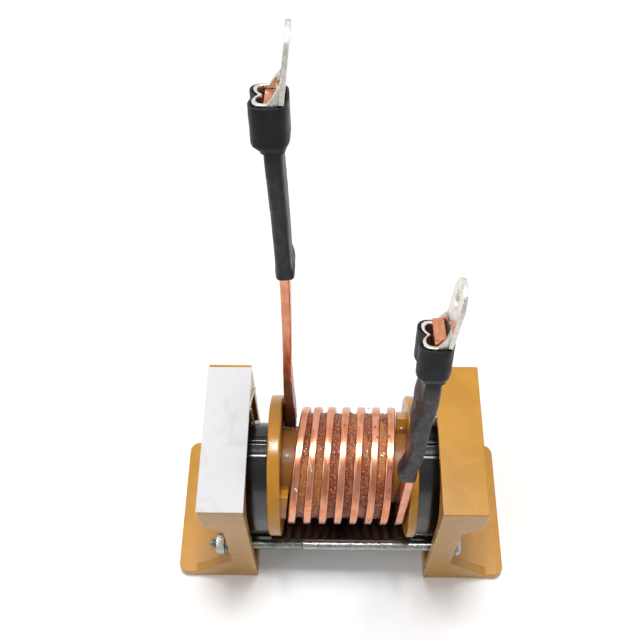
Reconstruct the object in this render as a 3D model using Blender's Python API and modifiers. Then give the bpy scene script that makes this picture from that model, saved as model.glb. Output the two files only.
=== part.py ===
"""Ferrite core transformer: two round-leg U cores clamped between two moulded
brackets by tie bolts, with one edge-wound strip coil on a flanged bobbin.

Metres, +Z up.  The coil axis runs along X, the front is -Y, and the origin is on the
ground under the middle of the core.  Lengths below are written in millimetres times MM.
"""
import math

import bmesh
import bpy
from mathutils import Matrix, Vector

MM = 0.001
GAP = 0.3 * MM                      # clearance between pieces that touch

# Core, two halves that meet in the middle of the coil
LEG_R = 12.5 * MM
YOKE_MARGIN = 3.5 * MM              # of the yoke's round edge beyond the leg
YOKE_ARC_END = math.radians(70.0)   # from vertical
YOKE_T = 12.4 * MM
CORE_HALF_DEPTH = 20.6 * MM
CORE_SHOULDER_DROP = 9.0 * MM       # below the axis, where the yoke is at full depth
RETURN_H = 13.2 * MM                # of the slab under the coil
GROOVE_HALF_ANGLE = math.radians(8.0)
RIB_HALF_ANGLE = math.radians(16.0)
GROOVE_DEPTH = 0.7 * MM
RIB_H = 0.4 * MM

# Winding: flat copper, wound on edge, left-handed
STRIP_T = 3.0 * MM
STRIP_W = 8.0 * MM
STRIP_EDGE_R = 0.6 * MM
INNER_EDGE_SWELL = 0.4 * MM         # the inner edge thickens as the strip is bent on edge
OUTER_EDGE_THIN = 0.1 * MM
WHOLE_TURNS = 7                     # and a half, so that the leads leave on opposite sides
PITCH = 5.72 * MM
STRAIGHT_TURNS = 0.472              # the first pass, which lies against the left flange
FIRST_ADVANCE = 1.62 * MM           # along the axis in that pass
LEAN_LAST = 0.65 * MM               # how far the front of a turn leans, at the last turns
LEAN_FIRST = 2.05 * MM              # and how much more at the first
LEAN_DECAY = 0.37
STEPS_PER_TURN = 24

# Bobbin
FLANGE_LEFT_T = 4.6 * MM
FLANGE_RIGHT_T = 3.2 * MM
FLANGE_LIP = 4.5 * MM               # of the flanges beyond the coil
FLANGE_RIM = 0.4 * MM               # bevel on the flanges' edges
BOBBIN_WALL = 1.0 * MM
BOBBIN_PLAY = 0.4 * MM              # at each end of the bobbin, between the yokes
COIL_PLAY = 0.6 * MM                # between the last turn and the right flange
RETURN_CLEARANCE = 1.4 * MM         # between the flanges and the core's slab
RAMP_H = 6.7 * MM                   # of the start and end ramps, above the tube
RAMP_ROOT = 1.0 * MM                # how deep a ramp runs into its flange
START_RAMP = (0.12, 0.592)          # where it runs, in turns from the coil's start
END_RAMP = (0.65, 0.10)             # and in turns before the coil's end

# Brackets: a web with a pocket for the yoke on its inner side
WEB_T = 3.0 * MM
POCKET_DEPTH = 6.0 * MM
POCKET_CORNER_R = 17.0 * MM
END_WALL_T = 3.5 * MM
TOP_WALL_T = 3.0 * MM
TOP_W = 16.0 * MM
TOP_BLOCK_H = 15.5 * MM
TOP_UNDERCUT = 5.5 * MM             # rise of the sloping face under the top block
BRACKET_ABOVE_YOKE = 11.0 * MM
FOOT_L = 32.5 * MM
FOOT_T = 4.5 * MM
FOOT_CORNER_R = 4.0 * MM
CORE_LIFT = 9.5 * MM                # height of the pocket's floor
GUSSET_TOP_Z = 20.5 * MM
GUSSET_SLOPE = math.radians(45.0)

# Leads: the strip goes on upwards from the coil.  Each point of a route is the middle
# of the strip, as (along the axis, away from it, up) from the end of the coil.
LEFT_ROUTE_MM = ((0.5, 0.0, 26), (0.9, -0.2, 46), (1.8, -0.5, 74),
                 (2.5, -1.0, 105), (2.5, -1.8, 137), (2.2, -2.4, 159.6))
RIGHT_ROUTE_MM = ((0.4, 0.0, 19), (0.8, 0.3, 46), (1.0, 0.7, 72),
                  (0.85, 1.1, 96), (1.25, 1.2, 111))
LEFT_LUG_MM = (2.0, 1.6, 173.6)         # middle of the strip at the mouth of the lug
RIGHT_LUG_MM = (1.55, -3.1, 125.1)
LEFT_STRIP_PROUD = -1.0 * MM        # how far the strip's end stands out of the mouth
RIGHT_STRIP_PROUD = 2.0 * MM
RIGHT_TWIST = math.radians(12.5)
TWIST_RISE = 98.0 * MM              # of the middle of the twist, above the coil axis
TWIST_REACH = 14.0 * MM
SWELL_RISE = 20.0 * MM              # over which the inner edge thins to the plain strip
LEAD_STEP = 5.0 * MM
ROUTE_STEPS = 5                     # rings between two points of a route

# Lugs: a tube barrel, crimped on one side, and a ring tongue on the other
BARREL_W = 7.8 * MM                 # along the strip's thickness
BARREL_WALL = 1.0 * MM
BARREL_L = 11.0 * MM
BARREL_SHIFT = -0.6 * MM            # barrel's middle from the strip's middle
BARREL_ROUNDNESS = 3.8              # power of its outline, where 2 is an ellipse
CRIMP_ANGLE = math.radians(26.0)
TONGUE_T = 1.3 * MM
TONGUE_TILT = math.radians(7.0)     # away from the barrel's axis
RING_R = 5.8 * MM
LUG_HOLE_R = 2.4 * MM
RING_CENTRE = 11.4 * MM             # above the mouth
SHOULDER_H = 4.0 * MM

# Heat-shrink sleeves
SLEEVE_WALL = 0.5 * MM
LEFT_SLEEVE_RISE = 109.0 * MM       # of the lower end, above the coil axis
RIGHT_SLEEVE_RISE = 43.0 * MM
BARREL_SLEEVE_WALL = 0.6 * MM
BARREL_SLEEVE_TAIL = 1.7 * MM       # below the barrel
BARREL_SLEEVE_SETBACK = 0.6 * MM    # its rim, below the mouth of the barrel
SLEEVE_OVERLAP = 1.2 * MM           # of the lead's sleeve, inside the barrel's
SLEEVE_SQUARENESS = 7.0             # powers of the sleeves' outlines
TAIL_SQUARENESS = 5.0

# Varnish between the turns, and the label
FILLER_DEPTH = 2.5 * MM             # of its surface, below the coil's outer edge
FILLER_START = 1.05                 # turns from the coil's start
FILLER_STOP = 0.5                   # turns before its end
LABEL_T = 0.2 * MM
LABEL_OVERHANG = 0.15 * MM
LABEL_BACK_MARGIN = 1.4 * MM

# Tie bolts and their fittings (M4)
BOLT_R = 1.95 * MM
BOLT_CLEARANCE = 0.4 * MM           # to the core and to the bracket's end wall
BOLT_HOLE_CLEARANCE = 0.35 * MM
BOLT_PROUD = 2.7 * MM               # of its tip, beyond the nut
HEAD_R = 3.9 * MM
HEAD_H = 2.5 * MM
HEAD_DOME = 1.4 * MM
RECESS_W = 1.1 * MM
RECESS_L = 4.4 * MM
RECESS_DEPTH = 1.5 * MM
WASHER_R = 4.0 * MM
WASHER_T = 0.8 * MM
SPRING_WASHER_R = 3.6 * MM
SPRING_WASHER_T = 1.0 * MM
SPRING_SLIT = 0.6 * MM
SLIT_SLANT = math.radians(25.0)
NUT_ACROSS_FLATS = 7.0 * MM
NUT_H = 3.2 * MM

# Sizes that follow, across the coil
TURNS = WHOLE_TURNS + 0.5
TUBE_R = LEG_R + GAP + BOBBIN_WALL
COIL_INNER_R = TUBE_R + GAP
COIL_MID_R = COIL_INNER_R + STRIP_W / 2
COIL_OUTER_R = COIL_INNER_R + STRIP_W
FLANGE_R = COIL_OUTER_R + FLANGE_LIP
YOKE_R = LEG_R + YOKE_MARGIN
CORE_BOTTOM_Z = CORE_LIFT + GAP
RETURN_TOP_Z = CORE_BOTTOM_Z + RETURN_H
AXIS_Z = RETURN_TOP_Z + RETURN_CLEARANCE + FLANGE_R
BRACKET_HEIGHT = AXIS_Z + YOKE_R + BRACKET_ABOVE_YOKE
POCKET_TOP_Z = BRACKET_HEIGHT - TOP_WALL_T
BOLT_Y = CORE_HALF_DEPTH + BOLT_CLEARANCE + BOLT_R
BOLT_Z = GUSSET_TOP_Z + GAP + WASHER_R
POCKET_HALF_W = BOLT_Y + BOLT_R + BOLT_CLEARANCE
BRACKET_DEPTH = 2 * (POCKET_HALF_W + END_WALL_T)

# Along the coil: what the turns need sets the bobbin, then the core and the brackets
COIL_INNER_T = STRIP_T + INNER_EDGE_SWELL
COIL_LENGTH = FIRST_ADVANCE + PITCH * (TURNS - STRAIGHT_TURNS)
BOBBIN_HALF_L = (FLANGE_LEFT_T + FLANGE_RIGHT_T + COIL_LENGTH + COIL_INNER_T
                 + 2 * GAP + COIL_PLAY) / 2
FLANGE_LEFT_FACE = FLANGE_LEFT_T - BOBBIN_HALF_L
FLANGE_RIGHT_FACE = BOBBIN_HALF_L - FLANGE_RIGHT_T
COIL_START_X = FLANGE_LEFT_FACE + GAP + COIL_INNER_T / 2
YOKE_INNER_X = BOBBIN_HALF_L + BOBBIN_PLAY
CORE_OUTER_X = YOKE_INNER_X + YOKE_T
POCKET_X = CORE_OUTER_X + GAP
WAIST_X = POCKET_X + WEB_T
BRACKET_INNER_X = POCKET_X - POCKET_DEPTH
TOP_OUTER_X = BRACKET_INNER_X + TOP_W
FOOT_OUTER_X = BRACKET_INNER_X + FOOT_L

# Round the strip
SLEEVE_HALF_T = STRIP_T / 2 + GAP
SLEEVE_HALF_W = STRIP_W / 2 + GAP
BARREL_D = 2 * (SLEEVE_HALF_W + BARREL_WALL)
CRIMP_DEPTH = BARREL_W / 2 - BARREL_WALL - SLEEVE_HALF_T - BARREL_SHIFT

parts = bpy.data.collections.new("ferrite_core_transformer")
cutters = bpy.data.collections.new("cutters")


def clear_scene():
    for old in list(bpy.data.objects):
        bpy.data.objects.remove(old, do_unlink=True)
    for collection in (parts, cutters):
        bpy.context.scene.collection.children.link(collection)


def make_material(name, colour, metallic, roughness):
    material = bpy.data.materials.new(name)
    material.use_nodes = True
    shader = material.node_tree.nodes["Principled BSDF"]
    shader.inputs["Base Color"].default_value = (*colour, 1.0)
    shader.inputs["Metallic"].default_value = metallic
    shader.inputs["Roughness"].default_value = roughness
    return material


def add_object(name, mesh, collection):
    item = bpy.data.objects.new(name, mesh)
    collection.objects.link(item)
    if collection is cutters:
        item.hide_render = True
        item.display_type = "WIRE"
    return item


def finish(item, material, smooth_angle=35.0):
    """Names the mesh, gives it its material and shades its round faces smooth."""
    item.data.name = item.name
    item.data.materials.clear()
    item.data.materials.append(material)
    item.data.shade_smooth()
    item.data.set_sharp_from_angle(angle=math.radians(smooth_angle))
    return item


def cut(item, cutter, operation="DIFFERENCE"):
    modifier = item.modifiers.new(cutter.name, "BOOLEAN")
    modifier.operation = operation
    modifier.solver = "EXACT"
    modifier.object = cutter
    return item


def box(name, low, high, collection=None):
    """A box between two corners, made as a cube and scaled in its mesh."""
    low, high = Vector(low), Vector(high)
    mesh = bpy.data.meshes.new(name)
    shape = bmesh.new()
    bmesh.ops.create_cube(shape, size=1.0)
    bmesh.ops.scale(shape, vec=high - low, verts=shape.verts)
    shape.to_mesh(mesh)
    shape.free()
    item = add_object(name, mesh, collection or cutters)
    item.location = (low + high) / 2
    return item


def rod(name, radius, start, end, segments=32, collection=None):
    """A cylinder along X, from start to end at the height and depth of start."""
    start, end = Vector(start), Vector(end)
    mesh = bpy.data.meshes.new(name)
    shape = bmesh.new()
    bmesh.ops.create_cone(shape, cap_ends=True, segments=segments, radius1=radius,
                          radius2=radius, depth=abs(end.x - start.x))
    shape.to_mesh(mesh)
    shape.free()
    item = add_object(name, mesh, collection or cutters)
    item.location = (start + end) / 2
    item.rotation_euler = (0.0, math.pi / 2, 0.0)
    return item


def arc(centre, radius, start, end, steps):
    """Points on an arc of a flat outline, angles from the outline's own +X."""
    points = []
    for step in range(steps + 1):
        angle = start + (end - start) * step / steps
        points.append((centre[0] + radius * math.cos(angle),
                       centre[1] + radius * math.sin(angle)))
    return points


def plate(name, outlines, thickness, collection=None):
    """A flat plate: filled outlines (the second and later are holes), made a mesh."""
    curve = bpy.data.curves.new(name, "CURVE")
    curve.dimensions = "2D"
    curve.fill_mode = "BOTH"
    curve.extrude = thickness / 2
    for outline in outlines:
        spline = curve.splines.new("POLY")
        spline.points.add(len(outline) - 1)
        for point, (x, y) in zip(spline.points, outline):
            point.co = (x, y, 0.0, 1.0)
        spline.use_cyclic_u = True
    holder = bpy.data.objects.new(name + "_outline", curve)
    cutters.objects.link(holder)
    bpy.context.view_layer.update()
    mesh = bpy.data.meshes.new_from_object(
        holder.evaluated_get(bpy.context.evaluated_depsgraph_get()))
    bpy.data.objects.remove(holder)
    shape = bmesh.new()
    shape.from_mesh(mesh)
    bmesh.ops.remove_doubles(shape, verts=shape.verts, dist=0.00001)
    bmesh.ops.recalc_face_normals(shape, faces=shape.faces)
    shape.to_mesh(mesh)
    shape.free()
    return add_object(name, mesh, collection or cutters)


def turned(name, profile, material=None, segments=48, collection=None):
    """A solid turned about its own X axis from (x, radius) points."""
    mesh = bpy.data.meshes.new(name)
    points = [(radius, 0.0, -x) for x, radius in profile]
    closed = profile[0] == profile[-1]
    if closed:
        points.pop()
    count = len(points)
    edges = [(i, (i + 1) % count) for i in range(count if closed else count - 1)]
    mesh.from_pydata(points, edges, [])
    item = add_object(name, mesh, collection or parts)
    item.rotation_euler = (0.0, -math.pi / 2, 0.0)
    screw = item.modifiers.new("turn", "SCREW")
    screw.axis = "Z"
    screw.steps = segments
    screw.render_steps = segments
    screw.use_merge_vertices = True
    screw.merge_threshold = 0.00001
    bpy.context.view_layer.update()
    made = bpy.data.meshes.new_from_object(
        item.evaluated_get(bpy.context.evaluated_depsgraph_get()))
    item.modifiers.remove(screw)
    item.data = made
    shape = bmesh.new()
    shape.from_mesh(made)
    bmesh.ops.recalc_face_normals(shape, faces=shape.faces)
    shape.to_mesh(made)
    shape.free()
    if material:
        finish(item, material)
    return item


def loft(name, rings, closed_ends=True, collection=None):
    """A skin over rings of points that all have the same count."""
    count = len(rings[0])
    points = [point for ring in rings for point in ring]
    faces = []
    for row in range(len(rings) - 1):
        for side in range(count):
            nxt = (side + 1) % count
            faces.append((row * count + side, row * count + nxt,
                          (row + 1) * count + nxt, (row + 1) * count + side))
    if closed_ends:
        last = (len(rings) - 1) * count
        faces.append(tuple(reversed(range(count))))
        faces.append(tuple(range(last, last + count)))
    mesh = bpy.data.meshes.new(name)
    mesh.from_pydata(points, [], faces)
    shape = bmesh.new()
    shape.from_mesh(mesh)
    bmesh.ops.recalc_face_normals(shape, faces=shape.faces)
    shape.to_mesh(mesh)
    shape.free()
    return add_object(name, mesh, collection or parts)


# Brackets

def bracket_outline():
    """The bracket's end view, with X outwards and Z up."""
    gusset_foot_x = WAIST_X + (GUSSET_TOP_Z - FOOT_T) / math.tan(GUSSET_SLOPE)
    return [(BRACKET_INNER_X, 0.0), (FOOT_OUTER_X, 0.0), (FOOT_OUTER_X, FOOT_T),
            (gusset_foot_x, FOOT_T), (WAIST_X, GUSSET_TOP_Z),
            (WAIST_X, BRACKET_HEIGHT - TOP_BLOCK_H - TOP_UNDERCUT),
            (TOP_OUTER_X, BRACKET_HEIGHT - TOP_BLOCK_H), (TOP_OUTER_X, BRACKET_HEIGHT),
            (BRACKET_INNER_X, BRACKET_HEIGHT)]


def bracket_plan():
    """The bracket's plan: only the outer corners of the foot are round."""
    y, r, over = BRACKET_DEPTH / 2, FOOT_CORNER_R, BRACKET_INNER_X / 2
    corner_x = FOOT_OUTER_X - r
    return ([(over, -y)] + arc((corner_x, r - y), r, -math.pi / 2, 0.0, 6)
            + arc((corner_x, y - r), r, 0.0, math.pi / 2, 6) + [(over, y)])


def pocket_outline():
    """The pocket for the core's yoke, seen along X, with round upper corners."""
    w, r = POCKET_HALF_W, POCKET_CORNER_R
    shoulder = POCKET_TOP_Z - r
    return ([(-w, CORE_LIFT), (w, CORE_LIFT)]
            + arc((w - r, shoulder), r, 0.0, math.pi / 2, 9)
            + arc((r - w, shoulder), r, math.pi / 2, math.pi, 9))


def make_bracket(name, side, material):
    """side is 1 for the right bracket and -1 for the left one."""
    body = plate(name, [bracket_outline()], BRACKET_DEPTH + 4 * MM, parts)
    body.rotation_euler = (math.pi / 2, 0.0, 0.0)

    plan = plate(name + "_plan", [bracket_plan()], 2.2 * BRACKET_HEIGHT)
    cut(body, plan, "INTERSECT")

    reach = POCKET_X - BRACKET_INNER_X
    pocket = plate(name + "_pocket", [pocket_outline()], 2 * reach)
    pocket.rotation_euler = (math.pi / 2, 0.0, math.pi / 2)
    pocket.location.x = BRACKET_INNER_X
    cut(body, pocket)

    recess = box(name + "_recess", (WAIST_X, -POCKET_HALF_W, FOOT_T),
                 (FOOT_OUTER_X + MM, POCKET_HALF_W, POCKET_TOP_Z))
    cut(body, recess)

    for label, y in (("_bolt_front", -BOLT_Y), ("_bolt_back", BOLT_Y)):
        hole = rod(name + label, BOLT_R + BOLT_HOLE_CLEARANCE, (POCKET_X - MM, y, BOLT_Z),
                   (WAIST_X + MM, y, BOLT_Z), 24)
        cut(body, hole)

    bpy.context.view_layer.update()
    mesh = bpy.data.meshes.new_from_object(
        body.evaluated_get(bpy.context.evaluated_depsgraph_get()))
    mesh.transform(body.matrix_world)
    body.modifiers.clear()
    body.rotation_euler = (0.0, 0.0, 0.0)
    if side < 0:
        mesh.transform(Matrix.Scale(-1.0, 4, (1.0, 0.0, 0.0)))
        mesh.flip_normals()
    body.data = mesh
    return finish(body, material)


# Core

def yoke_outline():
    """The yoke seen along X: an arc round the leg that flares into a wide slab."""
    w, r = CORE_HALF_DEPTH, YOKE_R
    up = math.pi / 2
    right = arc((0.0, AXIS_Z), r, up - YOKE_ARC_END, up - RIB_HALF_ANGLE, 10)
    rib = arc((0.0, AXIS_Z), r + RIB_H, up - RIB_HALF_ANGLE, up - GROOVE_HALF_ANGLE, 2)
    groove = arc((0.0, AXIS_Z), r - GROOVE_DEPTH, up - GROOVE_HALF_ANGLE,
                 up + GROOVE_HALF_ANGLE, 3)
    half = [(w, CORE_BOTTOM_Z), (w, AXIS_Z - CORE_SHOULDER_DROP)] + right + rib
    return half + groove + [(-y, z) for y, z in reversed(half)]


def make_core_half(name, side, material):
    yoke_t = CORE_OUTER_X - YOKE_INNER_X
    yoke = plate(name, [yoke_outline()], yoke_t, parts)
    yoke.rotation_euler = (math.pi / 2, 0.0, math.pi / 2)
    yoke.location.x = side * (YOKE_INNER_X + yoke_t / 2)

    joint_x = side * GAP / 2
    inside_x = side * (YOKE_INNER_X + yoke_t / 2)
    leg = rod(name + "_leg", LEG_R, (joint_x, 0.0, AXIS_Z), (inside_x, 0.0, AXIS_Z), 48)
    slab = box(name + "_slab",
               (min(joint_x, inside_x), -CORE_HALF_DEPTH, CORE_BOTTOM_Z),
               (max(joint_x, inside_x), CORE_HALF_DEPTH, RETURN_TOP_Z))
    cut(yoke, leg, "UNION")
    cut(yoke, slab, "UNION")
    return finish(yoke, material)


# Coil

def coil_x(turn):
    """Middle of the strip along X: it leans forward up the front of each turn."""
    if turn < STRAIGHT_TURNS:
        return COIL_START_X + FIRST_ADVANCE * turn / STRAIGHT_TURNS
    start = COIL_START_X + FIRST_ADVANCE
    lean = LEAN_LAST + LEAN_FIRST * LEAN_DECAY ** (turn - 2 * STRAIGHT_TURNS)
    wave = (1.0 - math.cos(2 * math.pi * (turn - STRAIGHT_TURNS))) / 2
    return start + PITCH * (turn - STRAIGHT_TURNS) + lean * wave


def coil_half_t(radius):
    """Half the strip's thickness at a radius, thicker towards the inner edge."""
    share = (radius - COIL_INNER_R) / STRIP_W
    return (STRIP_T + INNER_EDGE_SWELL * (1.0 - share) - OUTER_EDGE_THIN * share) / 2


def coil_point(turn, radius, x):
    """A point round the coil axis: turns run down the back and up the front."""
    angle = 2 * math.pi * turn
    return Vector((x, radius * math.cos(angle), AXIS_Z - radius * math.sin(angle)))


def strip_section(inner_half_t, outer_half_t):
    """Round-edged section as (across the width, along the thickness)."""
    w, r = STRIP_W / 2, STRIP_EDGE_R
    ti, to = inner_half_t, outer_half_t
    return [(-w + r, -ti), (w - r, -to), (w, -to + r), (w, to - r),
            (w - r, to), (-w + r, ti), (-w, ti - r), (-w, -ti + r)]


def strip_ring(centre, across, along, section):
    return [centre + across * a + along * b for a, b in section]


def catmull(points, steps):
    """A smooth curve through points; the first and last only give its direction."""
    route = []
    for i in range(1, len(points) - 2):
        p0, p1, p2, p3 = points[i - 1:i + 3]
        for step in range(steps):
            t = step / steps
            route.append(0.5 * (2 * p1 + (p2 - p0) * t + (2 * p0 - 5 * p1 + 4 * p2 - p3) * t ** 2
                                + (3 * p1 - p0 - 3 * p2 + p3) * t ** 3))
    route.append(points[-2].copy())
    return route


class Lead:
    """One end of the strip, from the coil up to the mouth of its lug."""

    def __init__(self, start, route, lug, outward, proud, twist=0.0):
        points = [start + Vector((x, y * outward, z)) * MM for x, y, z in route + (lug,)]
        mouth = points.pop()
        below = start - Vector((0.0, 0.0, LEAD_STEP))
        self.route = catmull([below, start] + points + [mouth], ROUTE_STEPS)
        self.bend = len(self.route) - 1
        self.axis = (mouth - self.route[-1]).normalized()
        self.mouth = mouth
        self.outward = outward
        self.twist = twist
        self.route.append(mouth + self.axis * proud)

    def turned_frame(self, centre, tangent):
        """Centre, direction across the width and direction along the thickness."""
        across = Vector((0.0, self.outward, 0.0))
        across = (across - tangent * across.dot(tangent)).normalized()
        share = max(0.0, 1.0 - ((centre.z - AXIS_Z - TWIST_RISE) / TWIST_REACH) ** 2)
        across = Matrix.Rotation(self.twist * share ** 2, 3, tangent) @ across
        return centre, across, across.cross(tangent) * self.outward

    def frame(self, index):
        low, high = max(index - 1, 0), min(index + 1, len(self.route) - 1)
        tangent = (self.route[high] - self.route[low]).normalized()
        return self.turned_frame(self.route[index],
                                 self.axis if index >= self.bend else tangent)

    def rings(self, section_of):
        return [strip_ring(*self.frame(i), section_of(self.route[i]))
                for i in range(1, len(self.route))]

    def between(self, low_z, high_z):
        """Frames at two heights and at the route's points between them."""
        frames = []
        for i in range(1, len(self.route)):
            a, b = self.frame(i - 1), self.frame(i)
            for z in (low_z, high_z):
                if a[0].z < z <= b[0].z:
                    t = (z - a[0].z) / (b[0].z - a[0].z)
                    frames.append(tuple(u.lerp(v, t) for u, v in zip(a, b)))
            if low_z + MM < b[0].z < high_z - MM:
                frames.append(b)
        return sorted(frames, key=lambda frame: frame[0].z)

    def at(self, above_mouth):
        """Frame on the straight stretch, at a distance above the lug's mouth."""
        return self.turned_frame(self.mouth + self.axis * above_mouth, self.axis)


def make_leads():
    left_start = coil_point(0.0, COIL_MID_R, coil_x(0.0))
    right_start = coil_point(TURNS, COIL_MID_R, coil_x(TURNS))
    left = Lead(left_start, LEFT_ROUTE_MM, LEFT_LUG_MM, 1.0, LEFT_STRIP_PROUD)
    right = Lead(right_start, RIGHT_ROUTE_MM, RIGHT_LUG_MM, -1.0, RIGHT_STRIP_PROUD,
                 RIGHT_TWIST)
    return left, right


def make_winding(name, left, right, material):
    swollen = (coil_half_t(COIL_INNER_R), coil_half_t(COIL_OUTER_R))
    plain = STRIP_T / 2

    def lead_section(point):
        rise = min(1.0, (point.z - AXIS_Z) / SWELL_RISE)
        ti = swollen[0] + (plain - swollen[0]) * rise
        to = swollen[1] + (plain - swollen[1]) * rise
        return strip_section(ti, to)

    section = strip_section(*swollen)
    coil = []
    count = round(TURNS * STEPS_PER_TURN)
    for step in range(count + 1):
        turn = TURNS * step / count
        centre = coil_point(turn, COIL_MID_R, coil_x(turn))
        across = coil_point(turn, 1.0, 0.0) - Vector((0.0, 0.0, AXIS_Z))
        coil.append(strip_ring(centre, across, Vector((1.0, 0.0, 0.0)), section))
    down = list(reversed(left.rings(lead_section)))
    return finish(loft(name, down + coil + right.rings(lead_section)), material)


def make_filler(name, material):
    """Cured varnish that fills the gap between neighbouring turns."""
    first, last = FILLER_START, TURNS - FILLER_STOP
    count = round((last - first) * STEPS_PER_TURN)
    low_r, high_r = COIL_INNER_R, COIL_OUTER_R - FILLER_DEPTH
    rings = []
    for step in range(count + 1):
        turn = first + (last - first) * step / count
        before, after = coil_x(turn - 1.0), coil_x(turn)
        ring = []
        for radius, side in ((low_r, -1), (low_r, 1), (high_r, 1), (high_r, -1)):
            half = (after - before) / 2 - coil_half_t(radius) - GAP
            ring.append(coil_point(turn, radius, (before + after) / 2 + side * half))
        rings.append(ring)
    return finish(loft(name, rings), material)


# Bobbin

def ramp(name, turns, flange_face, side):
    """A ramp between a flange and the strip that lies against it."""
    first, last = turns
    count = round((last - first) * STEPS_PER_TURN)
    root = TUBE_R - BOBBIN_WALL / 2
    rings = []
    for step in range(count + 1):
        turn = first + (last - first) * step / count
        edge = coil_x(turn) + side * (coil_half_t(COIL_INNER_R) + GAP)
        edge = min(edge, flange_face) if side > 0 else max(edge, flange_face)
        buried = flange_face + side * RAMP_ROOT
        rings.append([coil_point(turn, root, buried), coil_point(turn, root, edge),
                      coil_point(turn, TUBE_R + RAMP_H, edge),
                      coil_point(turn, TUBE_R + RAMP_H, buried)])
    return loft(name, rings, collection=cutters)


def make_bobbin(name, material):
    left, right, rim = -BOBBIN_HALF_L, BOBBIN_HALF_L, FLANGE_RIM
    bore = LEG_R + GAP
    profile = [(left, bore), (right, bore), (right, FLANGE_R - rim), (right - rim, FLANGE_R),
               (FLANGE_RIGHT_FACE + rim, FLANGE_R), (FLANGE_RIGHT_FACE, FLANGE_R - rim),
               (FLANGE_RIGHT_FACE, TUBE_R), (FLANGE_LEFT_FACE, TUBE_R),
               (FLANGE_LEFT_FACE, FLANGE_R - rim), (FLANGE_LEFT_FACE - rim, FLANGE_R),
               (left + rim, FLANGE_R), (left, FLANGE_R - rim), (left, bore)]
    body = turned(name, profile, segments=48)
    body.location.z = AXIS_Z
    cut(body, ramp(name + "_start_ramp", START_RAMP, FLANGE_LEFT_FACE, -1), "UNION")
    end_turns = [TURNS - before_end for before_end in END_RAMP]
    cut(body, ramp(name + "_end_ramp", end_turns, FLANGE_RIGHT_FACE, 1), "UNION")
    return finish(body, material)


# Lugs and sleeves

def oval(half_w, half_d, power, dent=0.0, points=28):
    """Rounded box outline as (across, along), dented at -along.

    half_d is along the strip's width and half_w along its thickness."""
    outline = []
    for i in range(points):
        angle = 2 * math.pi * i / points
        c, s = math.cos(angle), math.sin(angle)
        reach = (abs(c / half_w) ** power + abs(s / half_d) ** power) ** (-1.0 / power)
        off = (angle - math.pi) / CRIMP_ANGLE
        reach -= dent * math.exp(-off * off)
        outline.append((reach * s, reach * c))
    return outline


def strip_oval(half_t, half_w, power, points=12):
    """Rounded box outline round the strip, its points crowded at the corners."""
    outline = []
    for i in range(points):
        angle = 2 * math.pi * i / points
        c, s = math.cos(angle), math.sin(angle)
        outline.append((math.copysign(half_w * abs(s) ** (2 / power), s),
                        math.copysign(half_t * abs(c) ** (2 / power), c)))
    return outline


def barrel_oval(offset):
    return oval(BARREL_W / 2 + offset, BARREL_D / 2 + offset, BARREL_ROUNDNESS, CRIMP_DEPTH)


def make_lug(name, lead, material):
    """Barrel and tongue in their own frame: +Z out of the mouth, +X to the tongue."""
    outer = [(x, y) for y, x in barrel_oval(0.0)]
    inner = [(x, y) for y, x in barrel_oval(-BARREL_WALL)]
    height = BARREL_L + SHOULDER_H
    body = plate(name, [outer, inner], height, parts)
    body.data.transform(Matrix.Translation((0.0, 0.0, height / 2 - BARREL_L)))

    tongue_x = BARREL_W / 2 - TONGUE_T / 2
    root_z = -BARREL_SLEEVE_SETBACK / 2
    tongue_outline = ([(BARREL_D / 2, root_z)]
                      + arc((0.0, RING_CENTRE), RING_R, 0.0, math.pi, 14)
                      + [(-BARREL_D / 2, root_z)])
    hole = arc((0.0, RING_CENTRE), LUG_HOLE_R, 0.0, 2 * math.pi, 20)[:-1]
    tongue = plate(name + "_tongue", [tongue_outline, hole], TONGUE_T)
    tongue.data.transform(Matrix(((0, 0, 1, 0), (1, 0, 0, 0), (0, 1, 0, 0), (0, 0, 0, 1))))
    tongue.data.transform(Matrix.Translation((tongue_x, 0.0, 0.0))
                          @ Matrix.Rotation(TONGUE_TILT, 4, "Y"))

    slope_run = BARREL_W / 2 - BARREL_WALL
    trim = plate(name + "_trim", [[(-BARREL_W, 0.0), (0.0, 0.0), (slope_run, SHOULDER_H),
                                   (BARREL_W, SHOULDER_H), (BARREL_W, 3 * SHOULDER_H),
                                   (-BARREL_W, 3 * SHOULDER_H)]], 2 * BARREL_D)
    trim.data.transform(Matrix.Rotation(math.pi / 2, 4, "X"))
    cut(body, trim)
    cut(body, tongue, "UNION")

    centre, across, along = lead.at(0.0)
    place = Matrix.Translation(centre + along * BARREL_SHIFT)
    basis = Matrix((along, across * lead.outward, lead.axis)).transposed().to_4x4()
    for item in (body, tongue, trim):
        item.matrix_world = place @ basis
    return finish(body, material)


def sleeve_ring(frame, outline, lead, shift=0.0):
    centre, across, along = frame
    return [centre + across * (a * lead.outward) + along * (b + shift) for a, b in outline]


def shell(name, rings, wall, material):
    """A tube whose inner face is given by rings, thickened outwards."""
    item = loft(name, rings, closed_ends=False)
    solidify = item.modifiers.new("wall", "SOLIDIFY")
    solidify.thickness = wall
    solidify.offset = 1.0
    solidify.use_even_offset = True
    return finish(item, material, 50.0)


def make_lead_sleeve(name, lead, rise, material):
    top = lead.at(-BARREL_L - BARREL_SLEEVE_TAIL + SLEEVE_OVERLAP)[0].z
    outline = strip_oval(SLEEVE_HALF_T, SLEEVE_HALF_W, SLEEVE_SQUARENESS)
    rings = [sleeve_ring(frame, outline, lead)
             for frame in lead.between(AXIS_Z + rise, top)]
    return shell(name, rings, SLEEVE_WALL, material)


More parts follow.
